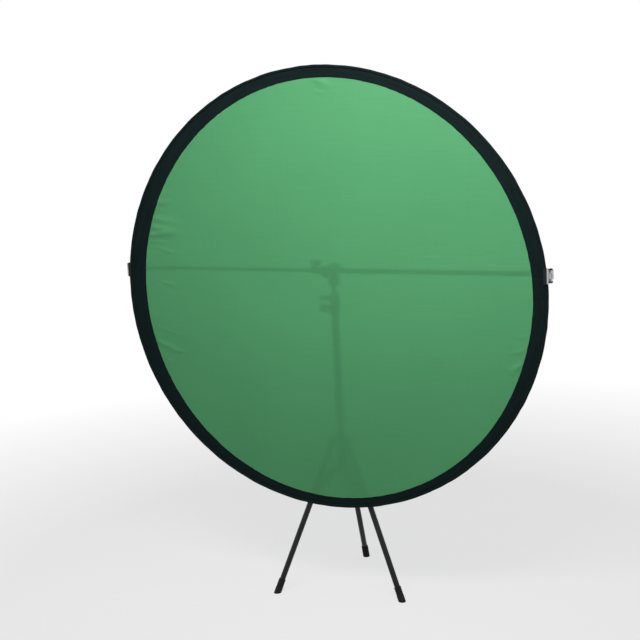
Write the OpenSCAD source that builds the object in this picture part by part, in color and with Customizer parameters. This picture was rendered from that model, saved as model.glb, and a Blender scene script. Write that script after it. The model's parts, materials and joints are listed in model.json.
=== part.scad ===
// Round pop-up backdrop held upright by a telescoping arm on a three-legged light stand.
// The backdrop faces -Y, the arm lies along X and the column stands along Z.
// The origin is on the floor, in the middle of the whole footprint. Lengths are in millimetres.

/* [Backdrop] */
// Half width of the bound edge
rim_half_w = 720; // [712:1:740]
// Half height of the bound edge
rim_half_h = 700.5; // [698:0.5:735]
// Width of the binding at the sides, left and right taken together by halves
side_band = 54; // [44:0.5:70]
// Width of the binding above and below, taken together by halves
end_band = 34.5; // [28:0.5:60]
// Distance of the open green cloth to the right of the rim's centre
panel_right = 8; // [0:1:10]
// Distance of the open green cloth below the rim's centre
panel_low = 1.5; // [0:0.5:4]
// Thickness of the cloth
cloth_t = 0.8; // [0.4:0.1:1.2]
// Width of cloth caught between the two layers of binding
cloth_margin = 10; // [6:1:12]
// Thickness of the flat part of the binding
band_t = 2.4; // [2:0.1:3.2]
// Depth of the hem round the hoop, from front to back
hem_t = 9.5; // [9.2:0.1:11]
// Width of the hem round the hoop
hem_w = 6; // [5.6:0.2:9]
// Thickness of the hoop's spring strip
hoop_t = 1.5; // [1:0.1:1.8]
// Width of the hoop's spring strip
hoop_w = 7; // [5:0.5:7.5]
// Length of the crimped sleeve that joins the hoop's ends
ferrule_len = 34; // [20:1:40]
// Thickness of the extra layer where the ends of the binding lap
overlap_t = 0.8; // [0.4:0.1:1.4]
// Lower and upper height of that lap, from the rim's centre
overlap_low = -2; // [-30:1:0]
overlap_high = 59; // [50:1:70]

/* [Arm] */
// Distance from the backdrop to the axis of the arm
arm_behind = 46; // [44:1:56]
// Height of the arm above the rim's centre
arm_above = 64; // [40:1:90]
// Outside diameter of the outer tube
arm_od = 16; // [15:0.5:18]
// Outside diameter of the inner rod
rod_od = 12; // [10:0.5:12.5]
// Wall of the arm's tubes
arm_wall = 1; // [0.8:0.1:1.4]
// Length of rod inside the outer tube
rod_inside = 160; // [140:5:300]
// Length of the bush on the rod's inner end
bush_len = 14; // [10:1:20]
// Length of the arm lock
arm_lock_len = 37; // [32:1:46]
// Diameter of the arm lock
arm_lock_d = 24; // [23:0.5:28]
// Diameter of the arm lock's knob
arm_knob_d = 38; // [30:1:40]

/* [End clips] */
// Height of a clip's front jaw
jaw_h = 44; // [42:1:50]
// Thickness of a jaw's sheet metal
jaw_t = 2; // [1.5:0.1:2.4]
// Distance that a rubber tip reaches in over the rim
tip_reach = 9; // [7:0.5:14]
// Diameter of a clip's hinge pin
clip_pin_d = 4; // [3:0.1:4.2]
// Wire of the clip spring
spring_wire = 1.2; // [0.8:0.1:1.3]

/* [Head] */
// Distance from the axis of the column to the backdrop
screen_gap = 90; // [88:1:120]
// Diameter of the tilting joint's faces
tilt_d = 40; // [38:1:48]
// Height of the arm above the tilting screw
arm_rise = 4; // [3:0.5:6]
// Diameter of the tilting screw
tilt_screw_d = 8; // [6:0.5:8]
// Diameter of the tilting knob
tilt_knob_d = 44; // [36:1:46]
// Diameter of the socket that takes the stud
socket_d = 36; // [32:1:40]
// Height of the socket below the tilting screw
socket_h = 47; // [46:1:60]
// Diameter of the stud
stud_d = 16; // [14:0.5:16]
// Length of stud seen between the top collar and the socket
neck_h = 27; // [12:1:40]
// Depth of the stud in the socket
stud_in = 31; // [26:1:32]

/* [Column] */
// Outside diameter of the base tube
base_od = 25; // [24.5:0.5:28]
// Length of the base tube
base_len = 535; // [480:5:700]
// Outside diameter of the middle tube
middle_od = 22; // [21.6:0.2:22.2]
// Outside diameter of the top tube
top_od = 19; // [18.6:0.2:19.2]
// Wall of the top tube
top_wall = 1.2; // [1:0.1:1.3]
// Height of each lock collar
lock_h = 31; // [29:1:40]
// Diameter of the lock collars
lock_d = 34; // [33:1:40]
// Diameter of the lower collar's knob
lower_knob_d = 28; // [24:1:29]
// Diameter of the upper collar's knob
upper_knob_d = 18; // [16:1:26]

/* [Legs] */
// Length of a leg from its hinge to the floor
leg_len = 545; // [520:5:600]
// Angle between a leg and the column
spread = 23.3; // [18:0.1:23.5]
// Turn of the three legs about the column
leg_turn = 9; // [8:1:10]
// Outside diameter of a leg
leg_od = 18; // [16:0.5:18.5]
// Wall of a leg
leg_wall = 1.2; // [1:0.1:2]
// Distance from the column's axis to the leg hinges
leg_hinge_r = 27; // [27:0.5:30]
// Distance from the column's axis to the brace hinges
brace_hinge_r = 26; // [26:0.5:28]
// Distance between the leg hinges and the brace hinges, up the column
hub_gap = 98; // [94:1:110]
// Distance down a leg from its hinge to the brace
brace_at = 196.5; // [190:0.5:205]
// Sheet thickness of the braces
brace_t = 1.5; // [1:0.1:2]
// Diameter of the hubs
hub_d = 35; // [34:0.5:35]
// Diameter of the hinge pins
hinge_pin_d = 5; // [4:0.5:5]
// Diameter of a rubber foot
foot_d = 23; // [21:0.5:28]
// Height of a rubber foot up the leg
foot_h = 48; // [36:1:60]

/* [Fits] */
// Radial clearance of parts that slide or turn on each other
fit = 0.05; // [0.02:0.01:0.09]
// Clearance between faces that move past each other
face_gap = 0.2; // [0.1:0.05:0.3]
// Clearance between the rim and the clips' rubber
soft_gap = 0.3; // [0.3:0.05:0.6]

/* [Hidden] */
$fn = 96;

// Colours
green = [0.33, 0.62, 0.42];
nylon = [0.09, 0.12, 0.12];
black_metal = [0.12, 0.12, 0.13];
black_plastic = [0.08, 0.08, 0.09];
rubber = [0.05, 0.05, 0.05];
steel = [0.62, 0.63, 0.65];

// Legs: azimuths from the front, towards +X, and the heights that the spread gives
left_az = leg_turn - 60;
right_az = leg_turn + 60;
rear_az = leg_turn + 180;
leg_hinge_z = leg_len * cos(spread);
brace_hinge_z = leg_hinge_z - hub_gap;
brace_end_r = leg_hinge_r + brace_at * sin(spread);
brace_end_z = leg_hinge_z - brace_at * cos(spread);
brace_len = norm([brace_end_r - brace_hinge_r, brace_hinge_z - brace_end_z]);
brace_angle = atan2(brace_end_r - brace_hinge_r, brace_hinge_z - brace_end_z);
foot_reach = leg_hinge_r + leg_len * sin(spread);

// The footprint's middle is the origin, so the column stands this far from it along Y
function foot_edge(az) = norm([foot_d / 2 / cos(spread) * cos(az), foot_d / 2 * sin(az)]);
front_reach = foot_reach * cos(left_az) + foot_edge(left_az);
rear_reach = -foot_reach * cos(rear_az) + foot_edge(rear_az);
column_y = (front_reach - rear_reach) / 2;

// Hubs
hub_r = hub_d / 2;
tube_bore_r = base_od / 2 + fit;
leg_r = leg_od / 2;
lug_t = 3;
lug_gap = leg_r + 0.3;
lug_r = 7;
leg_top = 8;
leg_hub_low = leg_hinge_z - 12;
leg_hub_h = 30;
leg_slot_top = 12.5;
hub_wall = 2;
pin_head_t = 1.5;
brace_inner = leg_r + 0.4;
brace_r = 6;
brace_web_x = leg_r + 0.5;
brace_web_start = 12;
brace_outer = brace_inner + brace_t;
brace_lug_gap = brace_outer + face_gap;
brace_hub_low = brace_hinge_z - 8;
brace_hub_h = 28;
hub_floor = 2.5;
hub_knob_az = leg_turn + 120;
hub_knob_d = 24;

// Column
middle_bore_r = middle_od / 2 + fit;
top_bore_r = top_od / 2 + fit;
base_low = brace_hub_low + hub_floor;
base_high = base_low + base_len;
lower_lock_low = base_high - lock_h / 2;
upper_lock_low = lower_lock_low + lock_h + face_gap;
middle_low = base_low + 5;
middle_high = upper_lock_low + lock_h / 2;
top_low = middle_low + 5;
top_high = upper_lock_low + lock_h + 0.5;
stud_flange_t = 2;
stud_plug_len = 30;
screw_d = 6;
screw_fit_r = screw_d / 2 + fit;

// Head
socket_low = top_high + stud_flange_t + neck_h;
tilt_z = socket_low + socket_h;
arm_z = tilt_z + arm_rise;
arm_y = arm_behind - screen_gap;
arm_r = arm_od / 2;
block_front = 5 + arm_r;
block_half = 20;
socket_front = arm_y + arm_r + 8;
stud_top = socket_low + stud_in;
stud_knob_d = 20;
stud_knob_z = socket_low + stud_knob_d / 2;

// Backdrop
screen_y = -screen_gap;
rim_z = arm_z - arm_above;
hoop_inset = 2;
hoop_play = 0.2;
ferrule_wall = 0.7;
ferrule_angle = 2;
oval_steps = 180;
function rim_x(height) = rim_half_w * sqrt(1 - pow(height / rim_half_h, 2));

// Arm lock, left of the head
lock_right = -block_half - 1;
lock_left = lock_right - arm_lock_len;
tube_left = lock_right - 15;
arm_knob_x = tube_left - screw_d / 2 - 2;
arm_knob_h = 15;
rod_r = rod_od / 2;

// End clips, laid out for the right end
clip_x = rim_x(arm_above);
pin_x = clip_x + 8;
pin_y = screen_y + hem_t / 2 + 6.25;
pin_r = clip_pin_d / 2;
ear_in = 16.3;
ear_out = 20.3;
ear_r = 5;
knuckle_r = 4;
knuckle_in = 8.5;
knuckle_out = 16;
pad_t = 2;
pad_face = screen_y + hem_t / 2 + soft_gap;
tip_back = screen_y - hem_t / 2 - soft_gap;
lip_y = tip_back - 2;
web_x = clip_x + 3;
prong_in = 7.5;
prong_out = 13;
lever_len = 31;
body_x = clip_x - 11;
clip_end = body_x - 3;
sleeve_len = 30;
sleeve_r = arm_r + 3;

// Spring of a clip: one unbroken wire, wound round the pin, with a straight leg at each end
coil_r = pin_r + spring_wire / 2 + 0.8;
coil_h = 2 * (ear_in - knuckle_in) - 3.5;
coil_start = 180;
coil_turn = 360 * 4 + 270;
coil_rings = 8;
wire_sides = 6;
long_leg = 10;
short_leg = pin_x - body_x - 0.3;
coil_pitch = coil_h / coil_turn * 360;
echo(spring_gap = coil_pitch * cos(atan(coil_pitch / (2 * PI * coil_r))) - spring_wire);

// ---------------------------------------------------------------- helpers

// The column's place in the part's frame
module placed() {
    translate([0, column_y, 0]) children();
}

// Turns a shape laid out along +X to an azimuth counted from the front
module at_azimuth(az) {
    rotate([0, 0, az - 90]) children();
}

// A cylinder along Y, X or Z from one station to another
module along_y(r, y0, y1) {
    translate([0, y0, 0]) rotate([-90, 0, 0]) cylinder(r = r, h = y1 - y0);
}

module along_x(r, x0, x1) {
    translate([x0, 0, 0]) rotate([0, 90, 0]) cylinder(r = r, h = x1 - x0);
}

module along_z(r, z0, z1) {
    translate([0, 0, z0]) cylinder(r = r, h = z1 - z0);
}

// A block given by its two corners
module block(low, high) {
    translate(low) cube(high - low);
}

// A tube along +Z
module tube(outer_r, inner_r, z0, z1) {
    difference() {
        along_z(outer_r, z0, z1);
        along_z(inner_r, z0 - 1, z1 + 1);
    }
}

// A knob with finger hollows, its moulded stem and its screw, pointing away from z = 0
module knob(d, h, stem_r, stem_h, screw_len, lobes) {
    hollow_r = d * 0.16;
    difference() {
        along_z(d / 2, stem_h, stem_h + h);
        for (i = [0 : lobes - 1])
            rotate([0, 0, (i + 0.5) * 360 / lobes])
                translate([d / 2 + hollow_r * 0.45, 0, 0])
                    along_z(hollow_r, stem_h - 1, stem_h + h + 1);
    }
    along_z(stem_r, 0, stem_h + 0.5);
    along_z(screw_d / 2, -screw_len, 0.5);
}

// ---------------------------------------------------------------- backdrop

module ellipse(half_w, half_h) {
    polygon([for (i = [0 : oval_steps - 1])
        [half_w * cos(i * 360 / oval_steps), half_h * sin(i * 360 / oval_steps)]]);
}

// The rim's outline, drawn in by this much
module oval(inset) {
    ellipse(rim_half_w - inset, rim_half_h - inset);
}

// A flat outline standing in the backdrop's plane
module in_screen(t) {
    translate([0, screen_y, rim_z]) rotate([90, 0, 0]) linear_extrude(t, center = true) children();
}

module oval_ring(outer, inner) {
    difference() {
        oval(outer);
        oval(inner);
    }
}

// The outline of the open green cloth, drawn out by this much
module open_cloth(extra) {
    translate([panel_right, -panel_low])
        ellipse(rim_half_w - side_band + extra, rim_half_h - end_band + extra);
}

// A wedge of the rim between two heights on the right
module right_wedge(low, high) {
    reach = rim_half_w * 1.1;
    polygon([[0, 0], [reach, low * 1.1], [reach, high * 1.1]]);
}

module ferrule_wedge(play) {
    middle = rim_half_h * sin(ferrule_angle);
    half = ferrule_len / 2 + play;
    right_wedge(middle - half, middle + half);
}

module cloth_panel() {
    color(green) in_screen(cloth_t) open_cloth(cloth_margin);
}

module rim_binding() {
    round_step = 1.2;
    play = 0.1;
    color(nylon) difference() {
        union() {
            in_screen(hem_t) oval_ring(round_step, hem_w);
            in_screen(hem_t - 2 * round_step) oval_ring(0, hem_w);
            in_screen(band_t) difference() {
                oval(hem_w / 2);
                open_cloth(0);
            }
        }
        in_screen(cloth_t) open_cloth(cloth_margin);
        in_screen(hoop_w + 2 * hoop_play)
            oval_ring(hoop_inset - hoop_play, hoop_inset + hoop_t + hoop_play);
        in_screen(hoop_w + 2 * (ferrule_wall + play)) intersection() {
            oval_ring(hoop_inset - ferrule_wall - play, hoop_inset + hoop_t + ferrule_wall + play);
            ferrule_wedge(play);
        }
    }
}

module binding_overlap() {
    color(nylon) for (side = [-1, 1])
        translate([0, side * (band_t + overlap_t) / 2, 0]) in_screen(overlap_t) intersection() {
            difference() {
                oval(hem_w + 0.5);
                open_cloth(2);
            }
            right_wedge(overlap_low, overlap_high);
        }
}

module spring_hoop() {
    color(steel) in_screen(hoop_w) oval_ring(hoop_inset, hoop_inset + hoop_t);
}

module hoop_ferrule() {
    color(steel) difference() {
        in_screen(hoop_w + 2 * ferrule_wall) intersection() {
            oval_ring(hoop_inset - ferrule_wall, hoop_inset + hoop_t + ferrule_wall);
            ferrule_wedge(0);
        }
        in_screen(hoop_w) oval_ring(hoop_inset, hoop_inset + hoop_t);
    }
}

// ---------------------------------------------------------------- arm

module on_arm() {
    translate([0, arm_y, arm_z]) children();
}

module arm_tube() {
    color(black_metal) on_arm() difference() {
        along_x(arm_r, tube_left, clip_end);
        along_x(arm_r - arm_wall, tube_left - 1, clip_end + 1);
    }
}

module arm_lock() {
    color(black_plastic) on_arm() difference() {
        union() {
            along_x(arm_lock_d / 2, lock_left, lock_right);
            translate([arm_knob_x, 0, 0]) along_z(7, 0, arm_lock_d / 2 + 4);
        }
        along_x(arm_r + fit, tube_left, lock_right + 1);
        along_x(rod_r + fit, lock_left - 1, tube_left + 1);
        translate([arm_knob_x, 0, 0]) along_z(screw_fit_r, 0, arm_lock_d);
    }
}

module arm_lock_knob() {
    stem = arm_lock_d / 2 + 4 + face_gap;
    color(black_plastic) on_arm() translate([arm_knob_x, 0, stem])
        knob(arm_knob_d, arm_knob_h, 8, 1, stem - rod_r - face_gap, 8);
}

module arm_rod() {
    rod_wall = 1.2;
    right_end = tube_left + rod_inside;
    color(black_metal) on_arm() difference() {
        along_x(rod_r, -clip_end, right_end);
        along_x(rod_r - rod_wall, -clip_end - 1, right_end + 1);
    }
}

module rod_bush() {
    right_end = tube_left + rod_inside;
    color(black_plastic) on_arm() difference() {
        along_x(arm_r - arm_wall - fit, right_end - bush_len, right_end);
        along_x(rod_r + fit, right_end - bush_len - 1, right_end + 1);
    }
}

// ---------------------------------------------------------------- end clips (right-hand layout)

module on_pin() {
    translate([pin_x, pin_y, arm_z]) children();
}

module clip_body(bore_r) {
    pad_back = pad_face + pad_t;
    color(black_plastic) difference() {
        union() {
            on_arm() along_x(sleeve_r, clip_end - sleeve_len, clip_end);
            block([body_x - 19, pad_back, arm_z - prong_out], [body_x, arm_y + arm_r, arm_z + prong_out]);
            block([body_x - 19, pad_back, arm_z - ear_out], [body_x, pin_y + ear_r, arm_z + ear_out]);
            for (side = [-1, 1]) {
                middle = arm_z + side * (ear_in + ear_out) / 2;
                half = (ear_out - ear_in) / 2;
                block([body_x - 1, pin_y - ear_r, middle - half], [pin_x, pin_y + ear_r, middle + half]);
                translate([pin_x, pin_y, 0]) along_z(ear_r, middle - half, middle + half);
                prong = arm_z + side * (prong_in + prong_out) / 2;
                prong_half = (prong_out - prong_in) / 2;
                block([body_x - 1, pad_back, prong - prong_half], [clip_x, pin_y + 2, prong + prong_half]);
            }
        }
        on_arm() along_x(bore_r, clip_end - sleeve_len - 1, clip_end);
        translate([pin_x, pin_y, 0]) along_z(pin_r + fit, arm_z - ear_out - 1, arm_z + ear_out + 1);
    }
}

module clip_pad() {
    color(rubber) block([clip_x - 9, pad_face, arm_z - prong_out],
                        [clip_x, pad_face + pad_t, arm_z + prong_out]);
}

module clip_pin() {
    color(steel) on_pin() {
        along_z(pin_r, -ear_out - face_gap, ear_out + face_gap);
        for (side = [-1, 1])
            translate([0, 0, side * (ear_out + face_gap + 0.75)]) along_z(pin_r + 1.2, -0.75, 0.75);
    }
}

module jaw() {
    web = [web_x - pin_x, web_x - pin_x + jaw_t];
    lip = lip_y - pin_y;
    web_start = -ear_r - 0.5;
    lever_x = -coil_r + spring_wire / 2 + 0.1;
    leg_slot = spring_wire / 2 + 0.6;
    color(steel) on_pin() difference() {
        union() {
            for (side = [-1, 1]) {
                middle = side * (knuckle_in + knuckle_out) / 2;
                half = (knuckle_out - knuckle_in) / 2;
                along_z(knuckle_r, middle - half, middle + half);
                block([web[0], web_start - 0.1, middle - half], [web[1], 0, middle + half]);
                tab = side * (knuckle_in + prong_out) / 2;
                tab_half = (prong_out - knuckle_in) / 2;
                block([lever_x, 0, tab - tab_half], [lever_x + jaw_t, 8, tab + tab_half]);
            }
            block([web[0], lip - jaw_t, -jaw_h / 2], [web[1], web_start, jaw_h / 2]);
            block([clip_x - tip_reach + 3 - pin_x, lip - jaw_t, -jaw_h / 2], [web[1], lip, jaw_h / 2]);
            block([lever_x, 7, -prong_out], [lever_x + jaw_t, lever_len, prong_out]);
        }
        along_z(pin_r + fit, -ear_out, ear_out);
        block([lever_x - 1, 6, -coil_h / 2 - leg_slot], [jaw_t, long_leg + 2, -coil_h / 2 + leg_slot]);
    }
}

module jaw_tip() {
    lip = lip_y - pin_y;
    tip_in = clip_x - tip_reach - pin_x;
    cap_t = 2;
    end = jaw_h / 2 + cap_t / 2;
    color(rubber) on_pin() difference() {
        block([tip_in, lip - jaw_t - cap_t, -end], [tip_in + tip_reach, tip_back - pin_y, end]);
        block([tip_in + 3, lip - jaw_t, -jaw_h / 2], [tip_in + tip_reach + 1, lip, jaw_h / 2]);
    }
}

// Points of the spring's centreline: a leg towards the lever, the coil, a leg towards the body
function coil_point(turn) = [coil_r * cos(coil_start + turn), coil_r * sin(coil_start + turn),
                             -coil_h / 2 + coil_h * turn / coil_turn];
function coil_ring(turn) = [for (k = [0 : wire_sides - 1])
    let (a = k * 360 / wire_sides, out = [cos(coil_start + turn), sin(coil_start + turn), 0])
        coil_point(turn) + spring_wire / 2 * (cos(a) * out + sin(a) * [0, 0, 1])];
coil_path = concat(
    [[for (p = coil_ring(0)) p + [0, long_leg, 0]]],
    [for (i = [0 : coil_turn / 360 * coil_rings]) coil_ring(i * 360 / coil_rings)],
    [[for (p = coil_ring(coil_turn)) p + [-short_leg, 0, 0]]]);

module clip_spring() {
    rings = len(coil_path);
    points = [for (ring = coil_path) for (p = ring) p];
    sides = [for (i = [0 : rings - 2]) for (k = [0 : wire_sides - 1])
        let (a = i * wire_sides + k, b = i * wire_sides + (k + 1) % wire_sides)
            each [[a, b, b + wire_sides], [a, b + wire_sides, a + wire_sides]]];
    ends = [for (k = [1 : wire_sides - 2]) each [
        [0, k + 1, k],
        [(rings - 1) * wire_sides, (rings - 1) * wire_sides + k, (rings - 1) * wire_sides + k + 1]]];
    color(steel) on_pin() polyhedron(points, concat(sides, ends));
}

// ---------------------------------------------------------------- head

module on_tilt() {
    translate([0, 0, tilt_z]) children();
}

module arm_block() {
    rear = socket_front - face_gap;
    color(black_plastic) difference() {
        union() {
            on_tilt() along_y(tilt_d / 2, arm_y - block_front, rear);
            on_arm() along_x(block_front, -block_half, block_half);
        }
        on_arm() along_x(arm_r + fit, -block_half - 1, block_half + 1);
        on_tilt() along_y(tilt_screw_d / 2 + fit, arm_y, rear + 1);
    }
}

module head_socket() {
    color(black_plastic) difference() {
        union() {
            along_z(socket_d / 2, socket_low, tilt_z);
            on_tilt() along_y(tilt_d / 2, socket_front, socket_d / 2);
        }
        along_z(stud_d / 2 + fit, socket_low - 1, stud_top + 1);
        on_tilt() along_y(tilt_screw_d / 2 + fit, socket_front - 1, socket_d / 2 + 1);
        translate([0, 0, stud_knob_z]) along_y(screw_fit_r, 0, socket_d);
    }
}

module tilt_knob() {
    color(black_plastic) translate([0, socket_d / 2 + face_gap, tilt_z]) {
        rotate([-90, 0, 0]) knob(tilt_knob_d, 16, 11, 2, 1, 6);
        along_y(tilt_screw_d / 2, arm_y + arm_r + face_gap - socket_d / 2 - face_gap, 1);
    }
}

module stud_knob() {
    screw_len = (socket_d - stud_d) / 2 - face_gap;
    color(black_plastic) translate([0, socket_d / 2 + face_gap, stud_knob_z])
        rotate([-90, 0, 0]) knob(stud_knob_d, 13, 6, 2, screw_len, 5);
}

// ---------------------------------------------------------------- column

module stud() {
    groove_z = socket_low + stud_in / 2;
    color(steel) difference() {
        union() {
            along_z(top_od / 2 - top_wall - fit, top_high - stud_plug_len, top_high + 0.5);
            along_z(top_od / 2, top_high, top_high + stud_flange_t);
            along_z(stud_d / 2, top_high, stud_top - 1);
            translate([0, 0, stud_top - 1]) cylinder(r1 = stud_d / 2, r2 = stud_d / 2 - 1, h = 1);
        }
        tube(stud_d, stud_d / 2 - 1.2, groove_z + 1, groove_z + 8);
    }
}

module top_tube() {
    color(black_metal) tube(top_od / 2, top_od / 2 - top_wall, top_low, top_high);
}

// A collar that sits on one tube and lets a thinner one slide through
module lock(low, sits_on_r, slides_r, knob_r) {
    seat = low + lock_h / 2;
    boss = lock_d / 2 + 3;
    difference() {
        union() {
            along_z(lock_d / 2, low, low + lock_h);
            translate([0, 0, seat]) along_x(knob_r, -boss, 0);
        }
        along_z(sits_on_r, low - 1, seat);
        along_z(slides_r, seat - 1, low + lock_h + 1);
        translate([0, 0, seat]) along_x(screw_fit_r, -boss - 1, 0);
    }
}

// The knob of such a collar, on its left
module lock_knob(low, d, h, reach_r) {
    boss = lock_d / 2 + 3 + face_gap;
    translate([-boss, 0, low + lock_h / 2]) rotate([0, -90, 0])
        knob(d, h, d * 0.3, 8, boss - reach_r - face_gap, 5);
}

module upper_lock() {
    color(black_plastic) lock(upper_lock_low, middle_bore_r, top_bore_r, 8);
}

module upper_lock_knob() {
    color(black_plastic) lock_knob(upper_lock_low, upper_knob_d, 20, middle_od / 2);
}

module middle_tube() {
    color(black_metal) tube(middle_od / 2, top_bore_r, middle_low, middle_high);
}

module lower_lock() {
    color(black_plastic) lock(lower_lock_low, tube_bore_r, middle_bore_r, 9);
}

module lower_lock_knob() {
    color(black_plastic) lock_knob(lower_lock_low, lower_knob_d, 22, base_od / 2);
}

module base_tube() {
    color(black_metal) tube(base_od / 2, middle_bore_r, base_low, base_high);
}

// ---------------------------------------------------------------- hubs

// The pair of lugs that hold one hinge, laid out along +X
module fork(hinge_r, hinge_z, gap) {
    for (side = [-1, 1]) {
        y = side * (gap + lug_t / 2);
        block([hub_r - 8, y - lug_t / 2, hinge_z - lug_r], [hinge_r, y + lug_t / 2, hinge_z + lug_r]);
        translate([hinge_r, 0, hinge_z]) along_y(lug_r, y - lug_t / 2, y + lug_t / 2);
    }
}

module leg_hub() {
    top = leg_hub_low + leg_hub_h;
    middle = leg_hub_low + leg_hub_h / 2;
    color(black_plastic) difference() {
        union() {
            along_z(hub_r, leg_hub_low, top);
            for (az = [left_az, right_az, rear_az]) at_azimuth(az) fork(leg_hinge_r, leg_hinge_z, lug_gap);
            at_azimuth(hub_knob_az) translate([0, 0, middle]) along_x(8, 0, hub_r + 3);
        }
        along_z(tube_bore_r, leg_hub_low - 1, top + 1);
        for (az = [left_az, right_az, rear_az]) at_azimuth(az) {
            block([tube_bore_r + hub_wall, -lug_gap, leg_hub_low - 1],
                  [hub_d, lug_gap, leg_hinge_z + leg_slot_top]);
            translate([leg_hinge_r, 0, leg_hinge_z])
                along_y(hinge_pin_d / 2 + fit, -hub_d, hub_d);
        }
        at_azimuth(hub_knob_az) translate([0, 0, middle]) along_x(screw_fit_r, 0, hub_d);
    }
}

// The heads at both ends of a hinge, this far from its middle
module pin_heads(half) {
    for (side = [-1, 1]) {
        y = side * (half + pin_head_t / 2);
        along_y(hinge_pin_d / 2 + 1.6, y - pin_head_t / 2, y + pin_head_t / 2);
    }
}

module leg_hub_pins() {
    half = lug_gap + lug_t;
    color(steel) for (az = [left_az, right_az, rear_az]) at_azimuth(az)
        translate([leg_hinge_r, 0, leg_hinge_z]) {
            along_y(hinge_pin_d / 2, -half - 0.1, half + 0.1);
            pin_heads(half);
        }
}

module leg_hub_knob() {
    start = hub_r + 3 + face_gap;
    color(black_plastic) at_azimuth(hub_knob_az)
        translate([start, 0, leg_hub_low + leg_hub_h / 2]) rotate([0, 90, 0])
            knob(hub_knob_d, 15, 7, 2, start - base_od / 2 - face_gap, 5);
}

module brace_hub() {
    top = brace_hub_low + brace_hub_h;
    color(black_plastic) difference() {
        union() {
            along_z(hub_r, brace_hub_low, top);
            for (az = [left_az, right_az, rear_az]) at_azimuth(az)
                fork(brace_hinge_r, brace_hinge_z, brace_lug_gap);
        }
        along_z(tube_bore_r, base_low, top + 1);
        for (az = [left_az, right_az, rear_az]) at_azimuth(az)
            translate([brace_hinge_r, 0, brace_hinge_z])
                along_y(hinge_pin_d / 2 + fit, -hub_d, hub_d);
    }
}

// A short pin in each lug, flush with the strap's inner face, so that the folded leg fits between them
module brace_hub_pins() {
    half = brace_lug_gap + lug_t;
    color(steel) for (az = [left_az, right_az, rear_az]) at_azimuth(az)
        translate([brace_hinge_r, 0, brace_hinge_z]) {
            along_y(hinge_pin_d / 2, -half - 0.1, -brace_inner);
            along_y(hinge_pin_d / 2, brace_inner, half + 0.1);
            pin_heads(half);
        }
}

// ---------------------------------------------------------------- legs and braces

// A leg's own frame: the hinge at the origin, the foot along +Z
module along_leg(az) {
    at_azimuth(az) translate([leg_hinge_r, 0, leg_hinge_z]) rotate([0, 180 - spread, 0]) children();
}

module leg(az) {
    color(black_metal) along_leg(az) difference() {
        tube(leg_r, leg_r - leg_wall, -leg_top, leg_len - foot_h / 4);
        along_y(hinge_pin_d / 2 + fit, -leg_od, leg_od);
    }
}

module foot(az) {
    edge = leg_len - foot_h;
    color(rubber) intersection() {
        along_leg(az) difference() {
            along_z(foot_d / 2, edge, leg_len + foot_d);
            along_z(leg_r + fit, edge - 1, leg_len - foot_h / 4);
        }
        translate([-foot_reach * 2, -foot_reach * 2, 0]) cube([foot_reach * 4, foot_reach * 4, leg_len]);
    }
}

// A brace's own frame: the hub hinge at the origin, the leg end along +Z, the web towards +X
module along_brace(az) {
    at_azimuth(az) translate([brace_hinge_r, 0, brace_hinge_z]) rotate([0, 180 - brace_angle, 0]) children();
}

module brace(az) {
    web_x1 = brace_web_x + brace_t;
    deep_start = brace_web_start - 3;
    color(black_metal) along_brace(az) difference() {
        union() {
            for (side = [-1, 1]) {
                y = side * (brace_inner + brace_t / 2);
                y0 = y - brace_t / 2;
                y1 = y + brace_t / 2;
                for (z = [0, brace_len]) translate([0, 0, z]) along_y(brace_r, y0, y1);
                block([-brace_r, y0, 0], [brace_r, y1, brace_len]);
                block([-brace_r, y0, deep_start], [web_x1, y1, brace_len - deep_start]);
            }
            block([brace_web_x, -brace_outer, brace_web_start],
                  [web_x1, brace_outer, brace_len - brace_web_start]);
        }
        along_y(hinge_pin_d / 2 + fit, -leg_od, leg_od);
        translate([0, 0, brace_len]) along_y(hinge_pin_d / 2 + fit, -leg_od, leg_od);
    }
}

// The two ends of the rivet through a leg; its shank is left out, so the fold's last pivot is open
module rivets(az) {
    color(steel) along_brace(az) translate([0, 0, brace_len]) {
        pin_heads(brace_outer);
        along_y(hinge_pin_d / 2, brace_inner, brace_outer);
        along_y(hinge_pin_d / 2, -brace_outer, -brace_inner);
    }
}

// ---------------------------------------------------------------- assembly

placed() cloth_panel();
placed() rim_binding();
placed() binding_overlap();
placed() spring_hoop();
placed() hoop_ferrule();
placed() arm_tube();
placed() arm_lock();
placed() arm_lock_knob();
placed() arm_rod();
placed() rod_bush();
placed() clip_body(arm_r + fit);  // right_clip_body
placed() clip_pad();  // right_clip_pad
placed() clip_pin();  // right_clip_pin
placed() jaw();  // right_jaw
placed() jaw_tip();  // right_jaw_tip
placed() clip_spring();  // right_clip_spring
placed() mirror([1, 0, 0]) clip_body(rod_r + fit);  // left_clip_body
placed() mirror([1, 0, 0]) clip_pad();  // left_clip_pad
placed() mirror([1, 0, 0]) clip_pin();  // left_clip_pin
placed() mirror([1, 0, 0]) jaw();  // left_jaw
placed() mirror([1, 0, 0]) jaw_tip();  // left_jaw_tip
placed() mirror([1, 0, 0]) clip_spring();  // left_clip_spring
placed() arm_block();
placed() head_socket();
placed() tilt_knob();
placed() stud_knob();
placed() stud();
placed() top_tube();
placed() upper_lock();
placed() upper_lock_knob();
placed() middle_tube();
placed() lower_lock();
placed() lower_lock_knob();
placed() base_tube();
placed() leg_hub();
placed() leg_hub_pins();
placed() leg_hub_knob();
placed() brace_hub();
placed() brace_hub_pins();
placed() leg(left_az);  // left_leg
placed() leg(right_az);  // right_leg
placed() leg(rear_az);  // rear_leg
placed() foot(left_az);  // left_foot
placed() foot(right_az);  // right_foot
placed() foot(rear_az);  // rear_foot
placed() brace(left_az);  // left_brace
placed() brace(right_az);  // right_brace
placed() brace(rear_az);  // rear_brace
placed() rivets(left_az);  // left_rivets
placed() rivets(right_az);  // right_rivets
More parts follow.
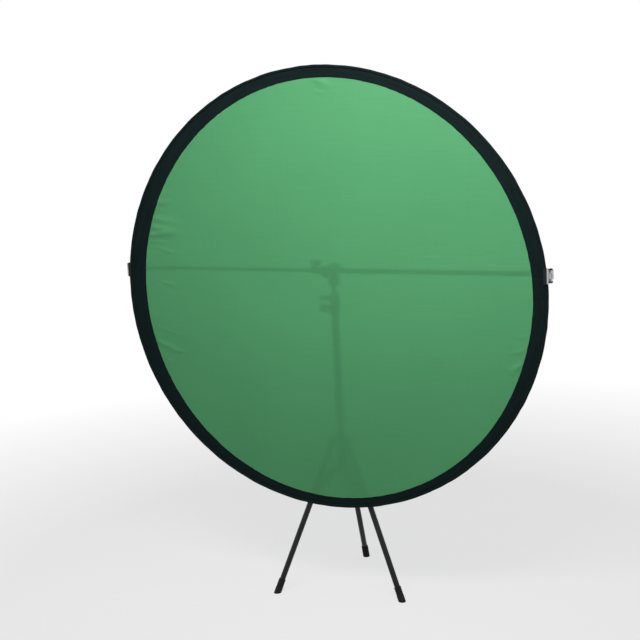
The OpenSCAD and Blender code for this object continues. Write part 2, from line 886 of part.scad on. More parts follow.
placed() rivets(rear_az);  // rear_rivets
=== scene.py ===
"""Round pop-up backdrop on a light stand: its cloth work, turned parts, finishes and studio.

Lengths are in metres in the model's own frame: the cloth faces -Y, the arm lies along X and the
column stands along Z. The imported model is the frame; every piece made here rides on one of its bodies.
"""

import json
import logging
import math
from contextlib import contextmanager
from dataclasses import dataclass, field, replace
from enum import Enum
from typing import Iterable, Iterator, Sequence

import bmesh
import bpy
import numpy as np
from mathutils import Matrix, Vector


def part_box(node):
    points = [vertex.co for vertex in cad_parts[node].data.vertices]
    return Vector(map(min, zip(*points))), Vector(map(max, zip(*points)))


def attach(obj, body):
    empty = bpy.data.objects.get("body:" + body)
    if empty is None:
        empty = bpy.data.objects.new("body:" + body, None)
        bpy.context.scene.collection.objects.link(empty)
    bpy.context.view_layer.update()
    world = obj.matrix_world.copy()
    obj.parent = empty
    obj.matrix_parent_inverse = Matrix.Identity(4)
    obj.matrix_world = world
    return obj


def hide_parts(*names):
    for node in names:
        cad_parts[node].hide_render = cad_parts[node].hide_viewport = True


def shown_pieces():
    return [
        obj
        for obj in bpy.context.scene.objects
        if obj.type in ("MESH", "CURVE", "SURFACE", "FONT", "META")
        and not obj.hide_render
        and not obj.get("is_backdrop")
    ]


MM = 0.001
log = logging.getLogger("backdrop")
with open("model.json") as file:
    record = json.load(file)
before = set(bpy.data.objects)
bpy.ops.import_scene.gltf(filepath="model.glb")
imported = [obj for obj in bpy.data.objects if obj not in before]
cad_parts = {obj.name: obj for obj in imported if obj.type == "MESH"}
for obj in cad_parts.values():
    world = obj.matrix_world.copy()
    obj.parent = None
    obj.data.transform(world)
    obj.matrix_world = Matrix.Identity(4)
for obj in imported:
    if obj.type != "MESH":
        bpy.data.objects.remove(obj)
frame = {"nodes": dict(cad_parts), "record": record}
Pair = tuple[float, float]
Triple = tuple[float, float, float]
Colour = Triple
Faces = list[tuple[int, ...]]
Socket = bpy.types.NodeSocket
Piece = bpy.types.Object
Material = bpy.types.Material
UP, BACK = Vector((0, 0, 1)), Vector((0, 1, 0))


# ---------------------------------------------------------------- looking things up in the frame


def carrier(node: str) -> str:
    """Finds the body that carries a node."""
    bodies = frame["record"]["behaviour"]["bodies"]
    return next(body for body, members in bodies.items() if node in members)


def stand_for(piece: Piece, *nodes: str) -> Piece:
    """Lets a piece ride where the nodes that it replaces ride.

    Args:
        piece: The finished piece.
        nodes: The nodes that it stands for, all on one body.

    Returns:
        The same piece.
    """
    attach(piece, carrier(nodes[0]))
    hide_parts(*nodes)
    return piece


def middle_of(node: str) -> Vector:
    """Gives the middle of a node's box."""
    low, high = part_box(node)
    return (low + high) / 2


def foot_of(node: str, along: int) -> tuple[Vector, float]:
    """Finds the low end of a long node.

    Args:
        node: Name of the node.
        along: 0, 1 or 2 where it lies along X, Y or Z.

    Returns:
        The middle of that end, and the node's length.
    """
    low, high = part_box(node)
    foot = (low + high) / 2
    foot[along] = low[along]
    return foot, high[along] - low[along]


def dress(nodes: Iterable[str], material: Material) -> None:
    """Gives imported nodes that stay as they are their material.

    Args:
        nodes: Names of the nodes.
        material: The material.
    """
    for node in nodes:
        for slot in frame["nodes"][node].material_slots:
            slot.material = material
        log.info("%s dressed", node)


# ---------------------------------------------------------------- shapes of curves


def bell(where: np.ndarray, at: np.ndarray | float, width: np.ndarray | float) -> np.ndarray:
    """Gives a smooth hump: 1 at a place, fading over a width on either side of it."""
    return np.exp(-(((where - at) / width) ** 2))


def unit(value: np.ndarray) -> np.ndarray:
    """Holds values between 0 and 1."""
    return np.clip(value, 0, 1)


def ramp(value: np.ndarray, start: float, over: np.ndarray | float) -> np.ndarray:
    """Rises from 0 at a start to 1 over a distance."""
    return unit((value - start) / over)


def signed(turn: np.ndarray) -> np.ndarray:
    """Gives angles between -pi and pi."""
    return (turn + math.pi) % math.tau - math.pi


def circle(radius: np.ndarray | float, count: int) -> tuple[np.ndarray, np.ndarray]:
    """Gives the two coordinates of points spaced evenly round a circle."""
    turn = np.arange(count) * math.tau / count
    return radius * np.cos(turn), radius * np.sin(turn)


@dataclass(frozen=True)
class Ripple:
    """A smooth uneven wave along a length, made of seeded sines."""

    seed: int
    longest: float
    shortest: float
    height: float = 1.0
    parts: int = 14

    def shifted(self, by: int) -> "Ripple":
        """Gives another wave of the same kind."""
        return replace(self, seed=self.seed + by)

    def at(self, where: np.ndarray, whole: float) -> np.ndarray:
        """Gives the wave's value, up to about its height either way.

        Args:
            where: Places along the length.
            whole: The whole length, which the wave closes on.

        Returns:
            The values.
        """
        usual, peak = 0.53 * self.parts**0.5, 1.7
        dice = np.random.default_rng(self.seed)
        total = np.zeros_like(where)
        for _ in range(self.parts):
            wave = math.exp(dice.uniform(math.log(self.shortest), math.log(self.longest)))
            turns = max(1, round(whole / wave))
            size = dice.uniform(0.5, 1.0)
            total += size * np.sin(math.tau * turns * where / whole + dice.uniform(0, math.tau))
        return self.height * (total / (usual * peak))


# ---------------------------------------------------------------- meshes


def link(name: str, data: bpy.types.ID) -> Piece:
    """Puts a mesh, lamp or camera into the scene.

    Args:
        name: Name of the object.
        data: The mesh, lamp or camera.

    Returns:
        The object.
    """
    made = bpy.data.objects.new(name, data)
    bpy.context.scene.collection.objects.link(made)
    return made


@contextmanager
def reworked(mesh: bpy.types.Mesh) -> Iterator[bmesh.types.BMesh]:
    """Opens a mesh for editing and writes it back at the end.

    Args:
        mesh: The mesh, changed in place.

    Yields:
        The mesh as it is edited.
    """
    work = bmesh.new()
    work.from_mesh(mesh)
    yield work
    work.to_mesh(mesh)
    work.free()


def make_piece(name: str, points: np.ndarray, faces: Sequence[Sequence[int]], material: Material,
               sharp: float = 40.0) -> Piece:
    """Makes a closed mesh object with its faces turned outwards.

    Args:
        name: Name of the piece.
        points: Its points, one row each.
        faces: Its faces as point numbers.
        material: The material of all of it.
        sharp: Angle in degrees above which an edge stays sharp.

    Returns:
        The object, linked to the scene.
    """
    mesh = bpy.data.meshes.new(name)
    mesh.from_pydata(np.asarray(points, float).tolist(), [], [tuple(map(int, f)) for f in faces])
    turn_outwards(mesh)
    shade(mesh, sharp)
    mesh.materials.append(material)
    return link(name, mesh)


def turn_outwards(mesh: bpy.types.Mesh) -> None:
    """Turns the faces of a closed mesh outwards."""
    with reworked(mesh) as work:
        bmesh.ops.recalc_face_normals(work, faces=work.faces)


def shade(mesh: bpy.types.Mesh, sharp: float) -> None:
    """Shades a mesh smooth, with sharp edges above an angle in degrees."""
    mesh.shade_smooth()
    mesh.set_sharp_from_angle(angle=math.radians(sharp))


def settle(piece: Piece) -> Piece:
    """Turns a piece's modifiers into its plain mesh.

    Args:
        piece: A mesh object with live modifiers.

    Returns:
        The same object without modifiers.
    """
    seen = piece.evaluated_get(bpy.context.evaluated_depsgraph_get())
    settled = bpy.data.meshes.new_from_object(seen)
    piece.modifiers.clear()
    piece.data = settled
    return piece


def loft(rings: int, count: int, path_closed: bool) -> Faces:
    """Joins rings of points into quads.

    Args:
        rings: Number of rings, one after another in the points.
        count: Points in each closed ring.
        path_closed: Whether the last ring meets the first; otherwise both ends get a flat face.

    Returns:
        The faces.
    """
    faces: Faces = []
    for i in range(rings if path_closed else rings - 1):
        a, b = i * count, (i + 1) % rings * count
        faces += [(a + k, a + (k + 1) % count, b + (k + 1) % count, b + k) for k in range(count)]
    if not path_closed:
        faces.append(tuple(range(count)))
        faces.append(tuple(range((rings - 1) * count, rings * count)))
    return faces


def standing_on(origin: Vector, axis: Vector, towards: Vector = Vector((0.013, 0.37, 0.91))) -> Matrix:
    """Makes the matrix of a part's own frame.

    Args:
        origin: Where the part's zero point is.
        axis: The direction of its Z axis.
        towards: A direction that its X axis leans to.

    Returns:
        The matrix from the part's frame to the model's.
    """
    z = axis.normalized()
    x = (towards - z * towards.dot(z)).normalized()
    rotation = Matrix((x, z.cross(x), z)).transposed()
    return Matrix.Translation(origin) @ rotation.to_4x4()


@dataclass
class Turned:
    """A part turned on a lathe: an outline of (radius, height) pairs, spun about its axis."""

    name: str
    outline: list[Pair]
    place: Matrix
    material: Material
    closed: bool = False
    steps: int = 72
    sharp: float = 35.0

    def build(self) -> Piece:
        """Spins the outline. An open one starts and ends in a flat face; a closed one makes a pipe.

        Returns:
            The piece, in its place.
        """
        rings = [np.stack([*circle(r, self.steps), np.full(self.steps, z)], -1) for r, z in self.outline]
        faces = loft(len(rings), self.steps, self.closed)
        piece = make_piece(self.name, np.concatenate(rings), faces, self.material, self.sharp)
        piece.data.transform(self.place)
        return piece


def pipe_outline(outer: float, inner: float, low: float, high: float) -> list[Pair]:
    """Outlines a pipe with eased lips at both ends.

    Args:
        outer: Outer radius.
        inner: Inner radius.
        low: Height of its first end.
        high: Height of its other end.

    Returns:
        The closed outline.
    """
    lip = 0.35 * MM
    near = 0.3 * lip
    return [(outer, low + lip), (outer, high - lip), (outer - near, high - near), (outer - lip, high),
            (inner + lip, high), (inner, high - lip), (inner, low + lip), (inner + lip, low),
            (outer - lip, low), (outer - near, low + near)]


def make_pipe(node: str, along: int, radius: float, wall: float, material: Material) -> Piece:
    """Turns a straight tube with eased lips.

    Args:
        node: The node whose box gives the tube's place and length.
        along: 0 or 2 where it lies along X or Z.
        radius: Its outer radius.
        wall: Its wall.
        material: Its material.

    Returns:
        The piece, standing for the node.
    """
    foot, length = foot_of(node, along)
    place = standing_on(foot, Matrix.Identity(3)[along])
    outline = pipe_outline(radius, radius - wall, 0, length)
    return stand_for(Turned(f"{node}_turned", outline, place, material, True).build(), node)


def softened(node: str, material: Material, edge: float = 0.6 * MM, segments: int = 2) -> Piece:
    """Remakes a moulded or pressed part with eased edges.

    Args:
        node: The node whose shape is taken.
        material: Its material.
        edge: Width of the easing.
        segments: Steps across the easing.

    Returns:
        The piece, standing for the node.
    """
    same_place, level, corner = 2e-6, math.radians(0.8), math.radians(34)
    mesh = frame["nodes"][node].data.copy()
    mesh.name = f"{node}_eased"
    with reworked(mesh) as work:
        bmesh.ops.remove_doubles(work, verts=work.verts, dist=same_place)
        bmesh.ops.dissolve_limit(work, angle_limit=level, verts=work.verts, edges=work.edges)
    if "custom_normal" in mesh.attributes:
        mesh.attributes.remove(mesh.attributes["custom_normal"])
    mesh.materials.clear()
    mesh.materials.append(material)
    mesh.shade_smooth()
    piece = link(f"{node}_eased", mesh)
    bevel = piece.modifiers.new("Eased edges", "BEVEL")
    bevel.width, bevel.segments, bevel.limit_method = edge, segments, "ANGLE"
    bevel.angle_limit, bevel.miter_outer = corner, "MITER_ARC"
    piece.modifiers.new("Even shading", "WEIGHTED_NORMAL").keep_sharp = True
    return stand_for(settle(piece), node)


# ---------------------------------------------------------------- node trees


class NodeSheet:
    """A node tree, written one node at a time."""

    tree: bpy.types.NodeTree

    def add(self, kind: str, inputs: dict | None = None, settings: dict | None = None) -> bpy.types.Node:
        """Adds a node.

        Args:
            kind: The node's type.
            inputs: Values or sockets by the input's name or number; None leaves one as it is.
            settings: The node's own settings.

        Returns:
            The node.
        """
        node = self.tree.nodes.new(kind)
        for key, value in (settings or {}).items():
            setattr(node, key, value)
        for key, value in (inputs or {}).items():
            if isinstance(value, Socket):
                self.tree.links.new(value, node.inputs[key])
            elif value is not None:
                node.inputs[key].default_value = value
        return node


class ShaderSheet(NodeSheet):
    """The node tree of a material or of the world."""

    def __init__(self, owner: Material | bpy.types.World) -> None:
        """Starts an empty tree.

        Args:
            owner: The material or world that it belongs to.
        """
        owner.use_nodes = True
        self.owner, self.tree = owner, owner.node_tree
        self.tree.nodes.clear()

    @classmethod
    def named(cls, name: str) -> "ShaderSheet":
        """Starts a new material of a name."""
        return cls(bpy.data.materials.new(name))

    def mapped(self, place: Socket, way: str, by: Vector | Colour) -> Socket:
        """Gives coordinates moved or stretched by a vector."""
        return self.add("ShaderNodeMapping", {"Vector": place, way: by}).outputs[0]

    def place(self, scale: Colour = (1, 1, 1), centre: Vector = Vector((0, 0, 0))) -> Socket:
        """Gives object coordinates, centred on a point and stretched by a scale."""
        coords = self.add("ShaderNodeTexCoord").outputs["Object"]
        return self.mapped(self.mapped(coords, "Location", -centre), "Scale", scale)

    def along_tape(self, scale: Colour = (1, 1, 1)) -> Socket:
        """Gives the tape's own map, in metres along and across it, stretched by a scale."""
        coords = self.add("ShaderNodeUVMap", settings={"uv_map": "tape"}).outputs[0]
        return self.mapped(coords, "Scale", scale)

    def noise(self, place: Socket, scale: float, detail: float = 2.0, roughness: float = 0.5) -> Socket:
        """Gives the value of a noise texture."""
        return self.add("ShaderNodeTexNoise", {"Vector": place, "Scale": scale, "Detail": detail,
                                               "Roughness": roughness}).outputs[0]

    def bands(self, place: Socket, pitch: float, direction: str, wobble: float = 0.0) -> Socket:
        """Gives even bands of a pitch in metres along X, Y, Z or the diagonal."""
        inputs = {"Vector": place, "Scale": math.tau / 20 / pitch, "Distortion": wobble, "Detail": 1.0}
        return self.add("ShaderNodeTexWave", inputs, {"bands_direction": direction}).outputs["Fac"]

    def spread(self, value: Socket, low: float, high: float, start: float = 0.3, end: float = 0.7) -> Socket:
        """Maps a value from start..end to low..high."""
        return self.add("ShaderNodeMapRange", {"Value": value, "From Min": start, "From Max": end,
                                               "To Min": low, "To Max": high}).outputs[0]

    def maths(self, kind: str, a: Socket | float, b: Socket | float = 0.0) -> Socket:
        """Gives the result of a sum of two values."""
        return self.add("ShaderNodeMath", {0: a, 1: b}, {"operation": kind}).outputs[0]

    def vector(self, kind: str, a: Socket, b: Sequence[float] = (0, 0, 0)) -> bpy.types.Node:
        """Adds a sum of vectors."""
        return self.add("ShaderNodeVectorMath", {0: a, 1: b}, {"operation": kind})

    def toned(self, colour: Colour | Socket, value: Socket) -> Socket:
        """Gives a colour made lighter or darker by a value round one."""
        base = colour if isinstance(colour, Socket) else (*colour, 1.0)
        return self.add("ShaderNodeHueSaturation", {"Color": base, "Value": value}).outputs[0]

    def blended(self, share: Socket, a: Colour, b: Colour) -> Socket:
        """Gives a mix of two colours."""
        inputs = {0: share, 6: (*a, 1.0), 7: (*b, 1.0)}
        return self.add("ShaderNodeMix", inputs, {"data_type": "RGBA"}).outputs[2]

    def bump(self, height: Socket, distance: float, strength: float, under: Socket | None = None) -> Socket:
        """Gives the normal of a height map, in metres, over another bump."""
        return self.add("ShaderNodeBump", {"Height": height, "Distance": distance, "Strength": strength,
                                           "Normal": under}).outputs[0]

    def body(self, colour: Socket, roughness: Socket | float, normal: Socket,
             rest: dict[str, float]) -> Socket:
        """Gives a plain surface.

        Args:
            colour: Its colour.
            roughness: Its roughness.
            normal: Its bump.
            rest: Its other values, by the shader's own names.

        Returns:
            The shader's output.
        """
        inputs = {"Base Color": colour, "Roughness": roughness, "Normal": normal, **rest}
        return self.add("ShaderNodeBsdfPrincipled", inputs).outputs[0]

    def mixed(self, share: Socket | float, a: Socket, b: Socket) -> Socket:
        """Gives a mix of two shaders."""
        return self.add("ShaderNodeMixShader", {0: share, 1: a, 2: b}).outputs[0]

    def finish(self, surface: Socket) -> Material:
        """Joins the surface to the output and gives the material."""
        self.add("ShaderNodeOutputMaterial", {"Surface": surface})
        return self.owner


class MeshTree(NodeSheet):
    """A geometry node tree with named inputs, that turns into plain mesh."""

    def __init__(self, name: str, sizes: dict[str, float]) -> None:
        """Starts a tree.

        Args:
            name: Name of the tree.
            sizes: Its named sizes with their usual values; whole numbers make whole-number inputs.
        """
        self.tree = bpy.data.node_groups.new(name, "GeometryNodeTree")
        face = self.tree.interface
        face.new_socket("Geometry", in_out="INPUT", socket_type="NodeSocketGeometry")
        for key, value in sizes.items():
            kind = "NodeSocketInt" if isinstance(value, int) else "NodeSocketFloat"
            face.new_socket(key, in_out="INPUT", socket_type=kind).default_value = value
        face.new_socket("Material", in_out="INPUT", socket_type="NodeSocketMaterial")
        face.new_socket("Geometry", in_out="OUTPUT", socket_type="NodeSocketGeometry")
        self.inputs = self.tree.nodes.new("NodeGroupInput").outputs

    def line(self) -> Socket:
        """Gives the line that the tree is run on, as a curve."""
        return self.add("GeometryNodeMeshToCurve", {0: self.inputs["Geometry"]}).outputs[0]

    def ring(self, sides: Socket | int, radius: Socket | float) -> Socket:
        """Gives a circle as a curve."""
        inputs = {"Resolution": sides, "Radius": radius}
        return self.add("GeometryNodeCurvePrimitiveCircle", inputs).outputs[0]

    def repeat(self, spots: bpy.types.Node, shape: Socket, **rest: Socket) -> "MeshTree":
        """Sets a shape on spots along the line, turned with it, and ends the tree."""
        inputs = {"Points": spots.outputs["Points"], "Instance": shape, "Rotation": spots.outputs["Rotation"]}
        return self.finish(self.add("GeometryNodeInstanceOnPoints", inputs | rest).outputs[0])

    def finish(self, geometry: Socket) -> "MeshTree":
        """Ends the tree in real geometry with its material.

        Args:
            geometry: What has been made.

        Returns:
            The same tree.
        """
        real = self.add("GeometryNodeRealizeInstances", {0: geometry}).outputs[0]
        dressed = self.add("GeometryNodeSetMaterial", {"Geometry": real, "Material": self.inputs["Material"]})
        self.add("NodeGroupOutput", {0: dressed.outputs[0]})
        return self

    def grow(self, name: str, points: np.ndarray, closed: bool, material: Material,
             sizes: dict[str, float]) -> Piece:
        """Runs the tree on a line of points and keeps the plain mesh.

        Args:
            name: Name of the piece.
            points: The line's points.
            closed: Whether the line closes on itself.
            material: The material of what grows on it.
            sizes: Values of the named inputs.

        Returns:
            The piece.
        """
        count = len(points)
        edges = [(i, (i + 1) % count) for i in range(count if closed else count - 1)]
        mesh = bpy.data.meshes.new(name)
        mesh.from_pydata(np.asarray(points, float).tolist(), edges, [])
        piece = link(name, mesh)
        modifier = piece.modifiers.new("Growth", "NODES")
        modifier.node_group = self.tree
        named = {i.name: i.identifier for i in self.tree.interface.items_tree if i.in_out == "INPUT"}
        for key, value in (sizes | {"Material": material}).items():
            modifier[named[key]] = value
        settle(piece)
        piece.data.shade_smooth()
        return piece


SEAM_STITCH = {"Pitch": 3.4 * MM, "Half length": 1.25 * MM, "Half width": 0.28 * MM, "Unevenness": 0.12,
               "Seed": 3}
LAP_STITCH = {"Pitch": 2.6 * MM, "Half length": 1.15 * MM, "Half width": 0.42 * MM, "Unevenness": 0.15,
              "Seed": 5}


def stitch_tree() -> MeshTree:
    """Makes the tree that sets a row of stitches along a seam line.

    Returns:
        The tree.
    """
    made = MeshTree("Row of stitches", SEAM_STITCH)
    spots = made.add("GeometryNodeCurveToPoints", {"Curve": made.line(), "Length": made.inputs["Pitch"]},
                     {"mode": "LENGTH"})
    ball = made.add("GeometryNodeMeshUVSphere", {"Segments": 6, "Rings": 4, "Radius": 1.0})
    thick, long = made.inputs["Half width"], made.inputs["Half length"]
    size = made.add("ShaderNodeCombineXYZ", {0: thick, 1: thick, 2: long})
    stitch = made.add("GeometryNodeTransform", {"Geometry": ball.outputs[0], "Scale": size.outputs[0]})
    uneven = made.inputs["Unevenness"]
    least, most = (made.add("ShaderNodeMath", {0: 1.0, 1: uneven}, {"operation": way}).outputs[0]
                   for way in ("SUBTRACT", "ADD"))
    dice = made.add("FunctionNodeRandomValue", {2: least, 3: most, "Seed": made.inputs["Seed"]},
                    {"data_type": "FLOAT"})
    return made.repeat(spots, stitch.outputs[0], Scale=dice.outputs[1])


def wire_tree() -> MeshTree:
    """Makes the tree that bends round wire along a line.

    Returns:
        The tree.
    """
    made = MeshTree("Bent wire", {"Radius": 0.6 * MM, "Sides": 12})
    section = made.ring(made.inputs["Sides"], made.inputs["Radius"])
    wire = made.add("GeometryNodeCurveToMesh", {"Curve": made.line(), "Profile Curve": section,
                                                "Fill Caps": True})
    return made.finish(wire.outputs[0])


def rib_tree() -> MeshTree:
    """Makes the tree that puts round ribs about a line, one on each of its points.

    Returns:
        The tree.
    """
    made = MeshTree("Round ribs", {"Radius": 11.0 * MM, "Thickness": 0.6 * MM, "Sides": 48})
    spots = made.add("GeometryNodeCurveToPoints", {"Curve": made.line()}, {"mode": "EVALUATED"})
    ring = made.ring(made.inputs["Sides"], made.inputs["Radius"])
    section = made.ring(8, made.inputs["Thickness"])
    rib = made.add("GeometryNodeCurveToMesh", {"Curve": ring, "Profile Curve": section})
    return made.repeat(spots, rib.outputs[0])


# ---------------------------------------------------------------- finishes


class Finish:
    """A finish: its name and the way in which its surface is written."""

    name: str

    def label(self) -> str:
        """Gives the material's name."""
        return self.name

    def surface(self, sheet: ShaderSheet) -> Socket:
        """Writes the surface and gives the shader's output."""
        raise NotImplementedError(self.name)

    def make(self) -> Material:
        """Makes the material."""
        sheet = ShaderSheet.named(self.label())
        return sheet.finish(self.surface(sheet))


@dataclass(frozen=True)
class ScreenCloth(Finish):
    """Thin woven nylon, dyed green: matt, lit through from behind, and faintly see-through."""

    name: str = "Green screen cloth"
    colour: Colour = (0.121, 0.49, 0.205)
    seen: Colour = (0.24, 0.92, 0.38)
    glow_share: float = 0.28
    seen_share: float = 0.09
    spread: float = 1.07
    blur: float = 0.8
    thread: float = 0.45 * MM
    centre: Triple = (0.008, -0.134, 0.994)

    def tone(self, sheet: ShaderSheet) -> Socket:
        """Gives the cloth's unevenness: slubs along it, warp lines across them, and soft clouds.

        Args:
            sheet: The node tree.

        Returns:
            The tone, round one.
        """
        centre = Vector(self.centre)
        slubs = sheet.noise(sheet.place((7, 1, 240), centre), 1.0, 3.0)
        warp = sheet.noise(sheet.place((260, 1, 9), centre), 1.0, 2.0)
        clouds = sheet.noise(sheet.place(centre=centre), 4.0, 3.0)
        lines = sheet.maths("ADD", sheet.spread(slubs, -0.022, 0.022), sheet.spread(warp, -0.012, 0.012))
        return sheet.maths("ADD", lines, sheet.spread(clouds, 0.975, 1.025))

    def surface(self, sheet: ShaderSheet) -> Socket:
        """Writes the cloth: it reflects, glows and shows what is behind it on its front side only.

        Args:
            sheet: The node tree.

        Returns:
            The shader's output.
        """
        creases = sheet.noise(sheet.place(centre=Vector(self.centre)), 55.0, 3.0, 0.6)
        weave = sheet.maths("ADD", *(sheet.bands(sheet.place(), self.thread, way) for way in "XZ"))
        normal = sheet.bump(weave, 0.02 * MM, 0.25, sheet.bump(creases, 0.35 * MM, 0.35))
        dyed = sheet.toned(self.colour, self.tone(sheet))
        body = sheet.body(dyed, 0.50, normal,
                          {"Specular IOR Level": 0.32, "Sheen Weight": 0.10, "Sheen Roughness": 0.5})
        glow = sheet.add("ShaderNodeBsdfTranslucent", {"Color": dyed, "Normal": normal}).outputs[0]
        view = sheet.add("ShaderNodeBsdfRefraction", {"Color": (*self.seen, 1.0), "Roughness": self.blur,
                                                      "IOR": self.spread}).outputs[0]
        clear = sheet.add("ShaderNodeBsdfTransparent", {"Color": (1, 1, 1, 1)}).outputs[0]
        cloth = sheet.mixed(self.seen_share, sheet.mixed(self.glow_share, body, glow), view)
        return sheet.mixed(sheet.add("ShaderNodeNewGeometry").outputs["Backfacing"], cloth, clear)


@dataclass(frozen=True)
class BindingTape(Finish):
    """Ribbed black nylon tape, dull, with dust in its weave."""

    name: str = "Black nylon tape"
    colour: Colour = (0.0085, 0.0170, 0.0172)
    rib: float = 1.2 * MM
    threads_in_rib: float = 2.6

    def surface(self, sheet: ShaderSheet) -> Socket:
        """Writes the tape's ribs, threads, waves and dust.

        Args:
            sheet: The node tree.

        Returns:
            The shader's output.
        """
        flat = sheet.along_tape()
        ribs = sheet.bands(flat, self.rib, "X", 0.4)
        threads = sheet.bands(flat, self.rib / self.threads_in_rib, "Y", 0.3)
        worn = sheet.noise(sheet.along_tape((14, 60, 1)), 1.0, 4.0)
        dust = sheet.noise(flat, 420.0, 2.0)
        tone = sheet.maths("ADD", sheet.spread(worn, 0.82, 1.16), sheet.spread(dust, -0.08, 0.12))
        waves = sheet.bump(sheet.noise(flat, 60.0, 3.0), 0.5 * MM, 0.35)
        weave = sheet.maths("ADD", ribs, sheet.maths("MULTIPLY", threads, 0.5))
        return sheet.body(sheet.toned(self.colour, tone), sheet.spread(worn, 0.52, 0.70),
                          sheet.bump(weave, 0.10 * MM, 0.45, waves), {"Specular IOR Level": 0.03})


@dataclass(frozen=True)
class SewingThread(Finish):
    """Twisted polyester thread."""

    name: str = "Black thread"
    colour: Colour = (0.006, 0.008, 0.008)
    lay: float = 0.35 * MM

    def surface(self, sheet: ShaderSheet) -> Socket:
        """Writes the slant of the thread's twist.

        Args:
            sheet: The node tree.

        Returns:
            The shader's output.
        """
        twist = sheet.bands(sheet.place(), self.lay, "DIAGONAL")
        colour = sheet.toned(self.colour, sheet.spread(twist, 0.8, 1.3, 0.0, 1.0))
        return sheet.body(colour, 0.5, sheet.bump(twist, 0.05 * MM, 0.5), {"Specular IOR Level": 0.2})


class Drawn(Enum):
    """The direction in which a tube was drawn, as the stretch of its streaks."""

    ALONG_X = (2.0, 260.0, 260.0)
    ALONG_Z = (260.0, 260.0, 2.0)
    SLANTING = (120.0, 120.0, 5.0)


@dataclass(frozen=True)
class AnodisedTube(Finish):
    """Drawn aluminium tube, anodised black: satin, with faint streaks and rubbed patches."""

    drawn: Drawn
    name: str = "Black anodised tube"
    colour: Colour = (0.022, 0.023, 0.025)
    rubbed: Colour = (0.060, 0.061, 0.064)

    def label(self) -> str:
        """Gives the material's name, with the direction of its streaks."""
        return f"{self.name} {self.drawn.name.lower()}"

    def surface(self, sheet: ShaderSheet) -> Socket:
        """Writes the streaks and the rubbed patches.

        Args:
            sheet: The node tree.

        Returns:
            The shader's output.
        """
        streaks = sheet.noise(sheet.place(self.drawn.value), 1.0, 4.0, 0.6)
        patches = sheet.noise(sheet.place(), 38.0, 4.0, 0.65)
        colour = sheet.blended(sheet.spread(patches, 0.0, 0.55, 0.60, 0.78), self.colour, self.rubbed)
        return sheet.body(sheet.toned(colour, sheet.spread(streaks, 0.85, 1.18)),
                          sheet.spread(streaks, 0.34, 0.48), sheet.bump(streaks, 0.03 * MM, 0.35),
                          {"Metallic": 0.75, "Specular IOR Level": 0.35})


@dataclass(frozen=True)
class Grained(Finish):
    """A fine grain all over, with wear in patches.

    A noise is given as scale, detail and roughness; the relief as depth and strength; the tone as its
    lowest and highest value and the wear that they stand at.
    """

    name: str
    colour: Colour
    grain: Triple
    relief: Pair
    wear: Triple
    tone: tuple[float, float, float, float]
    roughness: Pair
    gloss: float
    coat: float = 0.0
    coat_roughness: float = 0.35

    def surface(self, sheet: ShaderSheet) -> Socket:
        """Writes the grain and the wear, under a thin coat where there is one.

        Args:
            sheet: The node tree.

        Returns:
            The shader's output.
        """
        grain, wear = (sheet.noise(sheet.place(), *sizes) for sizes in (self.grain, self.wear))
        rest = {"Specular IOR Level": self.gloss}
        if self.coat:
            rest |= {"Coat Weight": self.coat, "Coat Roughness": self.coat_roughness}
        return sheet.body(sheet.toned(self.colour, sheet.spread(wear, *self.tone)),
                          sheet.spread(wear, *self.roughness), sheet.bump(grain, *self.relief), rest)


@dataclass(frozen=True)
class PowderCoat(Grained):
    """Pressed steel under black powder coat, with its orange-peel skin."""

    name: str = "Black powder coat"
    colour: Colour = (0.020, 0.021, 0.022)
    grain: Triple = (620.0, 2.0, 0.5)
    relief: Pair = (0.08 * MM, 0.35)
    wear: Triple = (45.0, 5.0, 0.7)
    tone: tuple[float, float, float, float] = (0.8, 1.5, 0.4, 0.75)
    roughness: Pair = (0.42, 0.6)
    gloss: float = 0.4
    coat: float = 0.08


@dataclass(frozen=True)
class MouldedPlastic(Grained):
    """Glass-filled nylon, moulded black, with a fine eroded grain."""

    name: str = "Black moulded plastic"
    colour: Colour = (0.016, 0.0165, 0.018)
    grain: Triple = (900.0, 2.0, 0.6)
    relief: Pair = (0.06 * MM, 0.5)
    wear: Triple = (70.0, 4.0, 0.6)
    tone: tuple[float, float, float, float] = (0.8, 1.35, 0.3, 0.7)
    roughness: Pair = (0.44, 0.62)
    gloss: float = 0.35


@dataclass(frozen=True)
class BlackRubber(Grained):
    """Soft black rubber, chalky, with a dusty bloom."""

    name: str = "Black rubber"
    colour: Colour = (0.013, 0.013, 0.0135)
    grain: Triple = (1400.0, 1.0, 0.5)
    relief: Pair = (0.04 * MM, 0.4)
    wear: Triple = (90.0, 5.0, 0.7)
    tone: tuple[float, float, float, float] = (0.8, 1.9, 0.35, 0.75)
    roughness: Pair = (0.72, 0.9)
    gloss: float = 0.25


@dataclass(frozen=True)
class BrightSteel(Finish):
    """Zinc-plated steel, lightly brushed."""

    name: str = "Bright steel"
    colour: Colour = (0.44, 0.45, 0.47)

    def surface(self, sheet: ShaderSheet) -> Socket:
        """Writes the brushing and the stains.

        Args:
            sheet: The node tree.

        Returns:
            The shader's output.
        """
        brushed = sheet.noise(sheet.place((900, 900, 30)), 1.0, 3.0)
        stain = sheet.noise(sheet.place(), 60.0, 4.0, 0.6)
        return sheet.body(sheet.toned(self.colour, sheet.spread(stain, 0.82, 1.05)),
                          sheet.spread(brushed, 0.24, 0.40), sheet.bump(brushed, 0.02 * MM, 0.3),
                          {"Metallic": 1.0})


